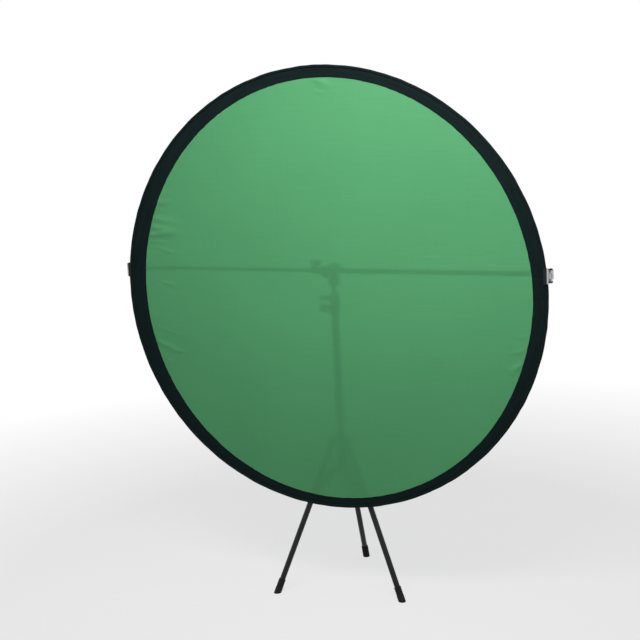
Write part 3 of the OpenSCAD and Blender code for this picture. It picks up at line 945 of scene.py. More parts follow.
@dataclass
class Finishes:
    """One material of each finish, made once and shared."""

    cloth: Material = field(default_factory=ScreenCloth().make)
    tape: Material = field(default_factory=BindingTape().make)
    thread: Material = field(default_factory=SewingThread().make)
    tube_x: Material = field(default_factory=AnodisedTube(Drawn.ALONG_X).make)
    tube_z: Material = field(default_factory=AnodisedTube(Drawn.ALONG_Z).make)
    tube_leg: Material = field(default_factory=AnodisedTube(Drawn.SLANTING).make)
    coat: Material = field(default_factory=PowderCoat().make)
    plastic: Material = field(default_factory=MouldedPlastic().make)
    rubber: Material = field(default_factory=BlackRubber().make)
    steel: Material = field(default_factory=BrightSteel().make)


# ---------------------------------------------------------------- backdrop


@dataclass(frozen=True)
class Fold:
    """A fold in the cloth: a ridge from a point at the edge inwards, in millimetres from its middle."""

    start: Pair
    end: Pair
    height: float
    width: float

    def rise(self, x: np.ndarray, z: np.ndarray) -> np.ndarray:
        """Gives the fold's height at points of the cloth: steep above, flatter below.

        Args:
            x: The points' X in metres from the middle.
            z: Their Z in metres from the middle.

        Returns:
            The height, in metres, towards the front.
        """
        above, below, at_start, widening = 0.75, 1.3, 0.75, 0.6
        past_end, fading, lead_in = 1.15, 0.65, 0.35
        a, b = np.array(self.start) * MM, np.array(self.end) * MM
        length = np.hypot(*(b - a))
        way = (b - a) / length
        along = ((x - a[0]) * way[0] + (z - a[1]) * way[1]) / length
        across = ((z - a[1]) * way[0] - (x - a[0]) * way[1]) * (1 if way[0] > 0 else -1)
        width = self.width * MM * (at_start + widening * unit(along)) * np.where(across > 0, above, below)
        fade = unit((past_end - along) / fading) ** 1.3 * unit((along + lead_in) / lead_in)
        return self.height * MM * fade * bell(across, 0, width)


@dataclass(frozen=True)
class EdgeWave:
    """Small waves that run into the cloth from its edge, in metres."""

    seed: int
    longest: float
    shortest: float
    height: float
    depth: float

    def rise(self, reach: np.ndarray, turn: np.ndarray, opening: float) -> np.ndarray:
        """Gives the waves' height at points of the cloth.

        Args:
            reach: The points' distances from its middle.
            turn: Their angles, from 0 to a whole turn.
            opening: The radius at which the cloth goes into the tape.

        Returns:
            The height, in metres.
        """
        wave = Ripple(self.seed, self.longest / opening, self.shortest / opening).at(turn, math.tau)
        uneven = 1 + Ripple(self.seed + 9, 0.6, 0.2, 0.8).at(turn, math.tau)
        inwards = unit(1 - (opening - reach) / (self.depth * uneven).clip(0.01))
        return self.height * wave * inwards**1.5


def rim_drift(turn: np.ndarray) -> np.ndarray:
    """Gives how far the rim's tape and the cloth's edge in it sway forward together, in metres."""
    return Ripple(41, 0.45, 0.13, 0.55 * MM).at(turn % math.tau, math.tau)


@dataclass
class ClothPanel:
    """The round green cloth, drawn tight in its rim, with the folds that its sewing leaves.

    Its rings of points grow sparser inwards: each count holds down to its reach, ring after ring a
    step apart. A pair is the radius at which something starts and the distance over which it grows.
    """

    finishes: Finishes
    radius: float = 676 * MM
    thick: float = 0.8 * MM
    opening: float = 0.666
    still: float = 0.66
    sag: float = 0.9 * MM
    billow: float = 0.5 * MM
    at_top: float = 0.35
    held: Pair = (0.6530, 0.0085)
    drifting: Pair = (0.640, 0.020)
    pressed: Pair = (0.657, 0.004)
    counts: tuple[int, ...] = (1024, 512, 256, 128, 64, 32, 16)
    reaches: tuple[float, ...] = (0.560, 0.300, 0.150, 0.075, 0.038, 0.019, 0.0)
    steps: tuple[float, ...] = (4.6 * MM, 9.5 * MM, 10 * MM, 12 * MM, 12 * MM, 10 * MM, 7 * MM)
    waves: tuple[EdgeWave, ...] = (EdgeWave(11, 0.10, 0.040, 0.85 * MM, 0.080),
                                   EdgeWave(12, 0.040, 0.020, 0.40 * MM, 0.035))
    folds: tuple[Fold, ...] = (
        Fold((-618, 240), (-518, 222), 6.4, 12.0),
        Fold((-629, 211), (-540, 200), 8.6, 10.5),
        Fold((-635, 183), (-521, 196), 8.6, 10.5),
        Fold((-614, 267), (-560, 269), 2.2, 6.0),
        Fold((-602, 284), (-543, 298), 6.4, 8.5),
        Fold((-592, 317), (-536, 322), 2.4, 6.5),
        Fold((-635, 163), (-562, 157), 2.0, 6.0),
        Fold((-600, 138), (-530, 119), 2.4, 6.0),
        Fold((-588, 24), (-520, 10), 2.6, 5.5),
        Fold((-430, 66), (-388, 50), 1.4, 5.0),
        Fold((-616, -131), (-509, -164), 1.1, 6.0),
        Fold((-634, -177), (-540, -211), 4.2, 8.0),
        Fold((-566, -207), (-512, -210), 2.2, 5.0),
        Fold((-612, -235), (-562, -256), 1.2, 6.0),
        Fold((643, -154), (588, -169), 3.4, 6.5),
        Fold((637, -196), (588, -221), 6.2, 9.0),
        Fold((647, -117), (602, -116), 1.2, 5.5),
        Fold((-20, 676), (50, 635), 7.5, 9.0),
        Fold((4, 621), (40, 613), 1.8, 5.0),
        Fold((346, 118), (393, 111), 1.6, 5.0),
        Fold((-300, -171), (-230, -175), 1.1, 5.0),
        Fold((90, -277), (172, -277), 1.1, 5.0),
    )

    def lift(self, x: np.ndarray, z: np.ndarray) -> np.ndarray:
        """Gives how far the cloth comes forward at points of it.

        Args:
            x: The points' X in metres from the cloth's middle.
            z: Their Z in metres from its middle.

        Returns:
            The distance towards the front, in metres.
        """
        reach, turn = np.hypot(x, z), np.arctan2(z, x)
        total = sum(fold.rise(x, z) for fold in self.folds)
        side = self.at_top + (1 - self.at_top) * np.abs(np.cos(turn)) ** 1.5
        for wave in self.waves:
            total = total + wave.rise(reach, turn % math.tau, self.opening) * side
        free = unit(1 - reach / self.still)
        total = total + self.sag * np.sin(x * 9.1 + 0.6) * np.sin(z * 7.3 + 1.1) * free
        total = total + self.billow * np.sin(x * 21 - z * 6) * np.sin(z * 17 + x * 5) * free
        return total * (1 - ramp(reach, *self.held)) + rim_drift(turn) * ramp(reach, *self.drifting)

    def rings(self) -> list[tuple[float, int]]:
        """Lays out the cloth's rings.

        Returns:
            The radius and the number of points of each, from the edge inwards.
        """
        rings: list[tuple[float, int]] = []
        edge = self.radius
        for count, reach, step in zip(self.counts, self.reaches, self.steps):
            while edge > reach + step / 2 and edge > 4 * MM:
                rings.append((edge, count))
                edge -= step
        return rings

    def weave(self, rings: list[tuple[float, int]]) -> Faces:
        """Joins the rings into one side of the cloth; point 0 is its middle.

        Args:
            rings: The radius and the number of points of each ring.

        Returns:
            The faces.
        """
        faces: Faces = []
        starts = np.cumsum([1] + [count for _, count in rings]).tolist()
        for (_, n), (_, m), a, b in zip(rings, rings[1:], starts, starts[1:]):
            if n == m:
                faces += [(a + k, a + (k + 1) % n, b + (k + 1) % n, b + k) for k in range(n)]
            else:
                faces += [(a + 2 * k, a + 2 * k + 1, b + k) for k in range(m)]
                faces += [(a + 2 * k + 1, a + (2 * k + 2) % n, b + (k + 1) % m, b + k) for k in range(m)]
        last, count = starts[-2], rings[-1][1]
        return faces + [(last + k, last + (k + 1) % count, 0) for k in range(count)]

    def build(self) -> Piece:
        """Makes the cloth as one closed thin sheet of rings.

        Returns:
            The piece, standing for the plain cloth.
        """
        middle, rings = middle_of("cloth_panel"), self.rings()
        flat = [np.zeros((1, 2))] + [np.stack(circle(*ring), -1) for ring in rings]
        x, z = np.concatenate(flat).T
        forward = self.lift(x, z)
        pressed = 1 - ramp(np.hypot(x, z), *self.pressed) / 2
        sides = [np.stack([middle.x + x, middle.y - forward + way * self.thick / 2 * pressed,
                           middle.z + z], -1) for way in (-1, 1)]
        total, outer, faces = len(x), rings[0][1], self.weave(rings)
        faces += [tuple(i + total for i in reversed(f)) for f in faces]
        edge = [(1 + k, 1 + (k + 1) % outer) for k in range(outer)]
        faces += [(a, b, b + total, a + total) for a, b in edge]
        piece = make_piece("cloth", np.concatenate(sides), faces, self.finishes.cloth, 60.0)
        return stand_for(piece, "cloth_panel")


def corners(mesh: bpy.types.Mesh) -> np.ndarray:
    """Gives the point number at each corner of a mesh's faces.

    Args:
        mesh: The mesh.

    Returns:
        The numbers, face after face.
    """
    numbers = np.zeros(len(mesh.loops), np.int64)
    mesh.loops.foreach_get("vertex_index", numbers)
    return numbers


def lay_map(mesh: bpy.types.Mesh, flat: np.ndarray) -> None:
    """Gives a mesh the tape's map, in metres along and across it, one row for each corner."""
    layer = mesh.uv_layers.new(name="tape")
    layer.data.foreach_set("uv", flat.astype(np.float32).ravel())


@dataclass
class RimTape:
    """The black tape bound round the cloth: folded edge, two seams, hem round the hoop, and its lap.

    A pair for a place round the rim is the angle and the width there; for a dent, its depth and
    width; for a gather, its distance from the tape's inner edge and its length in millimetres; for a
    lap row, its height in millimetres and its share of the tape's width.
    """

    finishes: Finishes
    opening: float = 666 * MM
    flat_half: float = 1.15 * MM
    bead: float = 1.5 * MM
    pillow: float = 0.35 * MM
    inner_pillow: float = 0.12 * MM
    dent_in: Pair = (0.38 * MM, 1.1 * MM)
    dent_out: Pair = (0.50 * MM, 1.3 * MM)
    hem_half: float = 4.9 * MM
    hem_width: float = 8.6 * MM
    hem_squareness: float = 3.4
    seam_in: float = 12 * MM
    seam_out: float = 9.8 * MM
    stations: int = 1120
    from_inner: tuple[float, ...] = (0.0, 0.2, 0.7, 1.5, 4.5, 8.0, 10.4, 11.3, 12.0, 12.7, 13.6, 16.0)
    between: int = 10
    from_outer: tuple[float, ...] = (12.4, 10.9, 10.3, 9.8, 9.3, 8.75, 8.45, 7.9, 6.9, 5.6, 4.2, 2.9,
                                     1.7, 0.8, 0.25, 0.0)
    slack_top: float = 3.4 * MM
    slack_low: float = 2.6 * MM
    tight_at: Pair = (0.0, 0.24)
    slack_at: Pair = (-0.31, 0.28)
    calm_at: Pair = (0.035, 0.05)
    outer_pull: float = 0.55 * MM
    inner_wave: Ripple = Ripple(31, 0.16, 0.03, 0.35 * MM)
    outer_wave: Ripple = Ripple(32, 0.20, 0.045)
    face_wave: Ripple = Ripple(42, 0.060, 0.020, 0.30 * MM)
    pucker: Ripple = Ripple(45, 0.016, 0.0085, 0.14 * MM)
    hem_wave: Ripple = Ripple(48, 0.030, 0.011, 0.16 * MM)
    gathers: tuple[Pair, ...] = ((14.5, 30.0), (20.0, 22.0), (26.5, 52.0), (33.0, 36.0),
                                                (38.5, 58.0))
    gather_lead: float = 2 * MM
    crease: Pair = (0.9 * MM, 1.3 * MM)
    ridge: Pair = (0.5 * MM, 2.0 * MM)
    ridge_off: float = 2.6 * MM
    wander: Pair = (1.6 * MM, 17 * MM)
    lap_low: float = -2 * MM
    lap_high: float = 59 * MM
    lap_counts: tuple[int, int] = (40, 26)
    lap_inset: float = 0.6 * MM
    lap_gap: float = 0.4 * MM
    lap_lift: float = 0.85 * MM
    lap_sink: float = 0.25 * MM
    lap_crease: float = 0.42 * MM
    lap_map: float = 20 * MM
    lap_wave: Ripple = Ripple(61, 0.018, 0.007)
    lap_rows: tuple[Pair, ...] = ((1.2, 0.38), (54.6, 1.0), (57.0, 1.0))
    seam_points: int = 2400
    row_points: int = 40

    def __post_init__(self) -> None:
        """Reads the rim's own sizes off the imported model."""
        low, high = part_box("rim_binding")
        self.middle = (low + high) / 2
        self.half_w, self.half_h = (high.x - low.x) / 2, (high.z - low.z) / 2
        self.inner_middle = middle_of("cloth_panel")
        self.girth = math.tau * math.sqrt((self.half_w**2 + self.half_h**2) / 2)

    def along(self, turn: np.ndarray) -> np.ndarray:
        """Gives places along the tape for angles round the rim."""
        return turn % math.tau / math.tau * self.girth

    def edges(self, turn: np.ndarray) -> tuple[np.ndarray, np.ndarray]:
        """Gives how far the tape's inner and outer edges are from the rim's middle.

        Args:
            turn: Angles round the rim from +X.

        Returns:
            Distances to the inner and the outer edge.
        """
        c, s = np.cos(turn), np.sin(turn)
        off = np.array([self.inner_middle.x - self.middle.x, self.inner_middle.z - self.middle.z])
        along = c * off[0] + s * off[1]
        inner = along + np.sqrt(self.opening**2 - (off @ off - along**2))
        outer = 1 / np.sqrt((c / self.half_w) ** 2 + (s / self.half_h) ** 2)
        place, bent = self.along(turn), signed(turn)
        slack = self.slack_top / 2 * (1 + s) * (1 - bell(bent, *self.tight_at))
        slack = slack + self.slack_low * bell(bent, *self.slack_at)
        inner = inner - slack + self.inner_wave.at(place, self.girth)
        calm = 1 - bell(bent, *self.calm_at)
        uneven = (0.9 + self.outer_wave.at(place, self.girth)).clip(0, 1.8)
        return inner, outer - self.outer_pull * calm * uneven

    def half_thickness(self, across: np.ndarray, width: np.ndarray) -> np.ndarray:
        """Gives half the tape's thickness at a distance from its inner edge.

        Args:
            across: Distances from the inner edge.
            width: The tape's width there.

        Returns:
            Half thicknesses.
        """
        bead = np.sqrt(1 - (1 - unit(across / self.bead)) ** 2)
        room = ramp(across, self.seam_in, width - self.seam_out - self.seam_in)
        flat = self.flat_half * bead + self.pillow * np.sin(math.pi * room)
        flat = flat + self.inner_pillow * np.sin(math.pi * unit(across / self.seam_in))
        flat = flat - self.dent_in[0] * bell(across, self.seam_in, self.dent_in[1])
        flat = flat - self.dent_out[0] * bell(across - width, -self.seam_out, self.dent_out[1])
        half, power = self.hem_width / 2, self.hem_squareness
        t = unit(np.abs(across - width + half) / half)
        hem = self.hem_half * (1 - t**power) ** (1 / power)
        return np.where(across > width - half, hem, np.maximum(flat, hem))

    def sway(self, turn: np.ndarray, across: np.ndarray, width: np.ndarray, side: int) -> np.ndarray:
        """Gives how far the tape's surface is pushed forward by its ripples.

        Args:
            turn: Angles round the rim.
            across: Distances from the inner edge.
            width: The tape's width there.
            side: -1 for the front face, 1 for the back.

        Returns:
            The push towards the front.
        """
        reach, slant, hem_at, seam_at = 5 * MM, 0.35, 4 * MM, 2 * MM
        place, share = self.along(turn), unit(across / width)
        middle = np.sin(math.pi * unit(share * 1.12))
        near_seam = bell(across, self.seam_in, reach)
        near_seam = near_seam + bell(across - width + self.seam_out, -seam_at, reach)
        near_hem = unit(1 - np.abs(across - width + hem_at) / reach)
        own = self.face_wave.shifted(side).at(place + slant * across * side, self.girth) * middle
        pucker = self.pucker.shifted(side).at(place, self.girth) * near_seam
        hem = self.hem_wave.shifted(side).at(place, self.girth) * near_hem
        both = rim_drift(turn) * (1 - share) ** 0.5
        return both + (own + pucker + hem + self.gather(turn, across)) * -side

    def gather(self, turn: np.ndarray, across: np.ndarray) -> np.ndarray:
        """Gives the creases that run into the lap's upper seam, where the tape was gathered.

        Args:
            turn: Angles round the rim.
            across: Distances from the inner edge.

        Returns:
            Their rise over the tape's face, below zero in a crease.
        """
        above = signed(turn) * self.half_w - self.lap_high
        total = np.zeros(np.broadcast(turn, across).shape)
        for number, (where, length) in enumerate(self.gathers):
            fade = unit(1 - above / (length * MM)) * unit(above / self.gather_lead + 1)
            line = where * MM + self.wander[0] * np.sin(above / self.wander[1] + 2 * number)
            ridge = self.ridge[0] * bell(across - line, self.ridge_off, self.ridge[1])
            total = total + fade * (ridge - self.crease[0] * bell(across, line, self.crease[1]))
        return total

    def surface(self, turn: np.ndarray, across: np.ndarray, side: int,
                lift: np.ndarray | float = 0.0) -> np.ndarray:
        """Gives points on the tape's face.

        Args:
            turn: Angles round the rim.
            across: Distances from the inner edge.
            side: -1 for the front face, 1 for the back.
            lift: Extra distance off the face.

        Returns:
            The points, one row each.
        """
        inner, outer = self.edges(turn)
        width = outer - inner
        reach = inner + np.clip(across, 0, width)
        half = self.half_thickness(across, width) + lift
        y = self.middle.y + side * half - self.sway(turn, across, width, side)
        return np.stack([self.middle.x + reach * np.cos(turn), y, self.middle.z + reach * np.sin(turn)], -1)

    def section(self, width: np.ndarray) -> list[np.ndarray]:
        """Gives the stations across the tape, from its inner edge to its outer one.

        Args:
            width: The tape's width at each place round the rim.

        Returns:
            Distances from the inner edge, one array for each station.
        """
        stations = [np.full_like(width, s * MM) for s in self.from_inner]
        start, end = self.from_inner[-1] * MM, width - self.from_outer[0] * MM
        shares = np.arange(1, self.between + 1) / (self.between + 1)
        stations += [start + (end - start) * share for share in shares]
        return stations + [width - s * MM for s in self.from_outer]

    def build(self) -> list[Piece]:
        """Makes the tape, its lap and its stitching.

        Returns:
            The tape first, then the rest.
        """
        turn = np.arange(self.stations) * math.tau / self.stations
        inner, outer = self.edges(turn)
        across = self.section(outer - inner)
        rows = [self.surface(turn, s, -1) for s in across]
        rows += [self.surface(turn, s, 1) for s in reversed(across[1:-1])]
        count = len(rows)
        points = np.stack(rows, 1).reshape(-1, 3)
        faces = loft(self.stations, count, True)
        tape = make_piece("rim_tape", points, faces, self.finishes.tape, 180.0)
        self.map_tape(tape.data, across, count)
        return [stand_for(tape, "rim_binding"), self.build_lap(), *self.sew()]

    def map_tape(self, mesh: bpy.types.Mesh, across: list[np.ndarray], count: int) -> None:
        """Lays the tape's map round it, open where its last section meets the first.

        Args:
            mesh: The tape's mesh.
            across: Its stations from the inner edge to the outer one.
            count: Points in each of its sections.
        """
        levels = np.stack(across + list(reversed(across[1:-1])), 1).reshape(-1)
        corner = corners(mesh)
        sizes = np.zeros(len(mesh.polygons), np.int64)
        mesh.polygons.foreach_get("loop_total", sizes)
        starts = np.cumsum(sizes) - sizes
        column = corner // count
        first, final = [np.repeat(np.add.reduceat(column == at, starts) > 0, sizes)
                        for at in (0, self.stations - 1)]
        column = np.where(first & final & (column == 0), self.stations, column)
        lay_map(mesh, np.stack([column * self.girth / self.stations, levels[corner]], -1))

    def lap_row(self, across: np.ndarray, share: float, side: int) -> np.ndarray:
        """Gives how far one row of the lap's upper layer stands off the tape.

        Args:
            across: Distances of its points from the tape's inner edge.
            share: The row's place across the lap, from 0 to 1.
            side: -1 for the front face, 1 for the back.

        Returns:
            The distances.
        """
        at_border, border_steps, lap_girth = 0.55, 1.2, 0.2
        long, wide = self.lap_counts
        along = np.arange(long) / (long - 1)
        rim = np.minimum(min(share, 1 - share) * wide, np.minimum(along, 1 - along) * long)
        ease = unit(rim / border_steps) ** 0.5
        crease = self.lap_wave.shifted(side).at(across, lap_girth) * unit(1 - along * 1.6)
        return self.lap_lift * (at_border + (1 - at_border) * ease) + self.lap_crease * crease * ease

    def build_lap(self) -> Piece:
        """Makes the extra layer where the tape's ends lap, front and back.

        Returns:
            The piece, standing for the plain lap.
        """
        long, wide = self.lap_counts
        ends = (math.asin(height / self.half_h) for height in (self.lap_low, self.lap_high))
        turn = np.linspace(*ends, long)
        inner, outer = self.edges(turn)
        width = outer - inner - self.hem_width - self.lap_gap
        border = list(range(long)) + [k * long + long - 1 for k in range(1, wide)]
        border += [(wide - 1) * long + i for i in range(long - 2, -1, -1)]
        border += [k * long for k in range(wide - 2, 0, -1)]
        points, faces, flats = [], [], []
        for side in (-1, 1):
            shares = [k / (wide - 1) for k in range(wide)]
            across = [self.lap_inset + (width - self.lap_inset) * share for share in shares]
            a = len(points) * long
            b = a + long * wide
            points += [self.surface(turn, s, side, self.lap_row(s, share, side))
                       for s, share in zip(across, shares)]
            points += [self.surface(turn, s, side, -self.lap_sink) for s in across]
            flats += [np.stack([turn * self.half_w + self.lap_map, s], -1) for s in across] * 2
            for k in range(wide - 1):
                for p in range(k * long, k * long + long - 1):
                    faces.append((a + p, a + p + 1, a + p + long + 1, a + p + long))
                    faces.append((b + p, b + p + long, b + p + long + 1, b + p + 1))
            faces += [(a + p, b + p, b + q, a + q) for p, q in zip(border, border[1:] + border[:1])]
        lap = make_piece("tape_lap", np.concatenate(points), faces, self.finishes.tape, 50.0)
        lay_map(lap.data, np.concatenate(flats)[corners(lap.data)])
        return stand_for(lap, "binding_overlap")

    def sew(self) -> list[Piece]:
        """Sets the rows of stitches: two round each face, and those across the lap.

        Returns:
            The stitching's pieces.
        """
        tree, rows, thread = stitch_tree(), [], self.finishes.thread
        over_tape, over_lap, over_row = 0.02 * MM, 0.8 * MM, 0.9 * MM
        turn = np.arange(self.seam_points) * math.tau / self.seam_points
        inner, outer = self.edges(turn)
        height = signed(turn) * self.half_h
        lift = np.where((height > self.lap_low) & (height < self.lap_high), over_lap, over_tape)
        seams = {"inner": np.full_like(turn, self.seam_in), "hem": outer - inner - self.seam_out}
        for side, face in ((-1, "front"), (1, "back")):
            for where, across in seams.items():
                line = self.surface(turn, across, side, lift)
                rows.append(tree.grow(f"stitches_{where}_{face}", line, True, thread, SEAM_STITCH))
            for number, (height, share) in enumerate(self.lap_rows):
                angle = np.full(self.row_points, math.asin(height * MM / self.half_h))
                a, b = self.edges(angle)
                across = np.linspace(0.04, share * 0.97, self.row_points) * (b - a - self.hem_width)
                line = self.surface(angle, across, side, over_row)
                sizes = LAP_STITCH | {"Seed": LAP_STITCH["Seed"] + number}
                rows.append(tree.grow(f"stitches_lap{number}_{face}", line, False, thread, sizes))
        for row in rows:
            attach(row, "arm")
        return rows


@dataclass
class Backdrop:
    """The pop-up disc: cloth, tape, lap, stitching, hoop and ferrule."""

    finishes: Finishes

    def build(self) -> None:
        panel = ClothPanel(self.finishes)
        cloth = panel.build()
        trim = RimTape(self.finishes).build()
        dress(("spring_hoop", "hoop_ferrule"), self.finishes.steel)


# ---------------------------------------------------------------- knobs, tubes and other turned parts


@dataclass
class LobedKnob:
    """A moulded clamping knob with finger hollows, an eased rim, a dished cap and its screw."""

    node: str
    axis: Vector
    across: float
    height: float
    stem: float
    stem_height: float
    lobes: int
    finishes: Finishes
    ease: float = 1.6 * MM
    screw: float = 3 * MM
    hollow: float = 0.088
    cap: float = 0.29
    steps: int = 18

    def ring(self, z: float, radius: np.ndarray | float) -> np.ndarray:
        """Gives a ring at a height, from one radius or from one for each point."""
        count = self.lobes * self.steps
        return np.stack([*circle(radius, count), np.full(count, z)], -1)

    def lobed(self, z: float, draw_in: float) -> np.ndarray:
        """Gives a ring with the knob's hollows.

        Args:
            z: Its height.
            draw_in: Distance that it is drawn in by.

        Returns:
            Its points in the knob's own frame.
        """
        count = self.lobes * self.steps
        turn = np.arange(count) * math.tau / count
        hollow = self.hollow * self.across * ((1 - np.cos(self.lobes * turn)) / 2) ** 1.5
        return self.ring(z, self.across / 2 - hollow - draw_in)

    def build(self) -> Piece:
        """Makes the knob, its stem and its screw as one closed piece.

        Returns:
            The piece, standing for the plain knob.
        """
        low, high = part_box(self.node)
        way = self.axis.normalized()
        longest = abs(sum(abs(w) * (h - l) for w, h, l in zip(way, high, low)))
        base, top = self.stem_height, self.stem_height + self.height
        tip = (low + high) / 2 + way * (longest / 2 - top)
        e, screw, stem, end = self.ease, self.screw, self.stem, top - longest
        cap = self.across * self.cap
        rings = [self.ring(z, r) for z, r in (
            (end, screw - 0.6 * MM), (end + 0.6 * MM, screw), (0, screw), (0, stem - 0.4 * MM),
            (0.4 * MM, stem), (base, stem))]
        rings += [self.lobed(z, draw_in) for z, draw_in in (
            (base, e * 1.2), (base + 0.12 * e, 0.45 * e), (base + 0.5 * e, 0.1 * e), (base + e, 0),
            ((base + top) / 2, 0), (top - e, 0), (top - 0.5 * e, 0.13 * e), (top - 0.13 * e, 0.5 * e),
            (top, 1.15 * e))]
        rings += [self.ring(z, r) for z, r in (
            (top, cap + 0.5 * MM), (top - 0.25 * MM, cap), (top - 0.9 * MM, cap - 0.4 * MM),
            (top - 0.9 * MM, cap - 1.1 * MM), (top - 0.35 * MM, cap - 1.6 * MM),
            (top - 0.3 * MM, cap * 0.3))]
        faces = loft(len(rings), len(rings[0]), False)
        piece = make_piece(f"{self.node}_moulded", np.concatenate(rings), faces, self.finishes.plastic, 38.0)
        piece.data.materials.append(self.finishes.steel)
        for face in piece.data.polygons:
            face.material_index = int(face.center.z < -0.05 * MM)
        piece.data.transform(standing_on(tip, way))
        return stand_for(piece, self.node)


@dataclass
class Arm:
    """The telescoping arm: outer tube, inner rod, bush, lock and its knob."""

    finishes: Finishes
    outer: float = 8 * MM
    wall: float = 1 * MM
    rod: float = 6 * MM
    rod_wall: float = 1.2 * MM

    def build(self) -> None:
        """Makes the tubes as turned parts and eases the moulded ones."""
        f = self.finishes
        make_pipe("arm_tube", 0, self.outer, self.wall, f.tube_x)
        make_pipe("arm_rod", 0, self.rod, self.rod_wall, f.tube_x)
        softened("arm_lock", f.plastic, 0.9 * MM, 3)
        dress(("rod_bush",), f.plastic)
        LobedKnob("arm_lock_knob", UP, 38 * MM, 15 * MM, 8 * MM, 1 * MM, 8, f).build()


class Side(Enum):
    """Which end of the arm a clip is on, as the way that it faces along X."""

    RIGHT = 1
    LEFT = -1


@dataclass
class EndClip:
    """One spring clip: body, pad, pin, jaw, rubber tip and torsion spring."""

    side: Side
    finishes: Finishes
    bend: MeshTree
    wire: float = 1.2 * MM
    coil: float = 3.4 * MM
    turns: float = 4.75
    long_leg: float = 5.6 * MM
    coil_points: int = 150
    leg_points: tuple[int, int] = (8, 6)

    def build(self) -> None:
        """Eases the clip's parts and winds its spring."""
        f, side = self.finishes, self.side.name.lower()
        softened(f"{side}_clip_body", f.plastic, 0.8 * MM, 3)
        softened(f"{side}_clip_pad", f.rubber, 0.5 * MM)
        softened(f"{side}_clip_pin", f.steel, 0.35 * MM)
        softened(f"{side}_jaw", f.steel, 0.4 * MM)
        softened(f"{side}_jaw_tip", f.rubber, 0.8 * MM, 3)
        self.wind(f"{side}_clip_spring", middle_of(f"{side}_clip_pin"))

    def wind(self, node: str, pin: Vector) -> None:
        """Winds the spring: a leg to the lever, the coil round the pin, a leg to the body.

        Args:
            node: The plain spring.
            pin: The middle of its pin.
        """
        low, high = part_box(node)
        rise, way = high.z - low.z - self.wire, self.side.value
        turn = np.linspace(math.pi, math.pi + math.tau * self.turns, self.coil_points)
        x = pin.x + way * self.coil * np.cos(turn)
        y = pin.y + self.coil * np.sin(turn)
        z = pin.z + way * np.linspace(-rise / 2, rise / 2, self.coil_points)
        coil = np.stack([x, y, z], -1)
        first = coil[0] + np.array([0, self.long_leg, 0])
        last = np.array([low.x if way > 0 else high.x, *coil[-1][1:]])
        legs = (np.linspace(first, coil[0], self.leg_points[0])[:-1],
                np.linspace(coil[-1], last, self.leg_points[1])[1:])
        line = np.concatenate([legs[0], coil, legs[1]])
        sizes = {"Radius": self.wire / 2, "Sides": 12}
        spring = self.bend.grow(f"{node}_wound", line, False, self.finishes.steel, sizes)
        turn_outwards(spring.data)
        stand_for(spring, node)


@dataclass
class Head:
    """The head: arm block, stud socket, and the two knobs that lock them."""

    finishes: Finishes

    def build(self) -> None:
        """Eases the two castings and moulds the knobs."""
        f = self.finishes
        softened("arm_block", f.plastic, 1.0 * MM, 3)
        softened("head_socket", f.plastic, 1.0 * MM, 3)
        LobedKnob("tilt_knob", BACK, 44 * MM, 16 * MM, 11 * MM, 2 * MM, 6, f).build()
        LobedKnob("stud_knob", BACK, 20 * MM, 13 * MM, 6 * MM, 2 * MM, 5, f).build()


@dataclass
class Column:
    """The three-section column with its collars, their knobs and the stud."""

    finishes: Finishes
    walls: tuple[tuple[str, float], ...] = (("base_tube", 1.45 * MM), ("middle_tube", 1.45 * MM),
                                            ("top_tube", 1.2 * MM))
    neck: float = 31

    def build(self) -> None:
        """Turns the tubes and the stud, eases the collars and moulds their knobs."""
        f = self.finishes
        for node, wall in self.walls:
            low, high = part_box(node)
            make_pipe(node, 2, (high.x - low.x) / 2, wall, f.tube_z)
        self.turn_stud()
        softened("upper_lock", f.plastic, 1.0 * MM, 3)
        softened("lower_lock", f.plastic, 1.0 * MM, 3)
        left = Vector((-1, 0, 0))
        LobedKnob("upper_lock_knob", left, 18 * MM, 20 * MM, 5.4 * MM, 8 * MM, 5, f, 1.2 * MM).build()
        LobedKnob("lower_lock_knob", left, 28 * MM, 22 * MM, 8.4 * MM, 8 * MM, 5, f).build()

    def turn_stud(self) -> None:
        """Turns the stud: plug, flange, neck, locking groove and chamfered tip, in millimetres."""
        foot, tall = foot_of("stud", 2)
        end = tall / MM
        groove = end - self.neck + self.neck / 2
        plug = [(7.85, 0), (8.25, 0.4), (8.25, 30)]
        flange = [(9.1, 30.02), (9.5, 30.4), (9.5, 31.6), (9.1, 32), (8, 32.02)]
        grooved = [(8, groove + 0.9), (6.8, groove + 1.0), (6.8, groove + 8.0), (8, groove + 8.1)]
        chamfer = [(8, end - 1.0), (7.0, end)]
        outline = [(r * MM, z * MM) for r, z in plug + flange + grooved + chamfer]
        stud = Turned("stud_turned", outline, standing_on(foot, UP), self.finishes.steel)
        stand_for(stud.build(), "stud")


def outwards(azimuth: float) -> Vector:
    """Gives the level direction at an angle in degrees from the front, towards +X."""
    turn = math.radians(azimuth)
    return Vector((math.sin(turn), -math.cos(turn), 0))


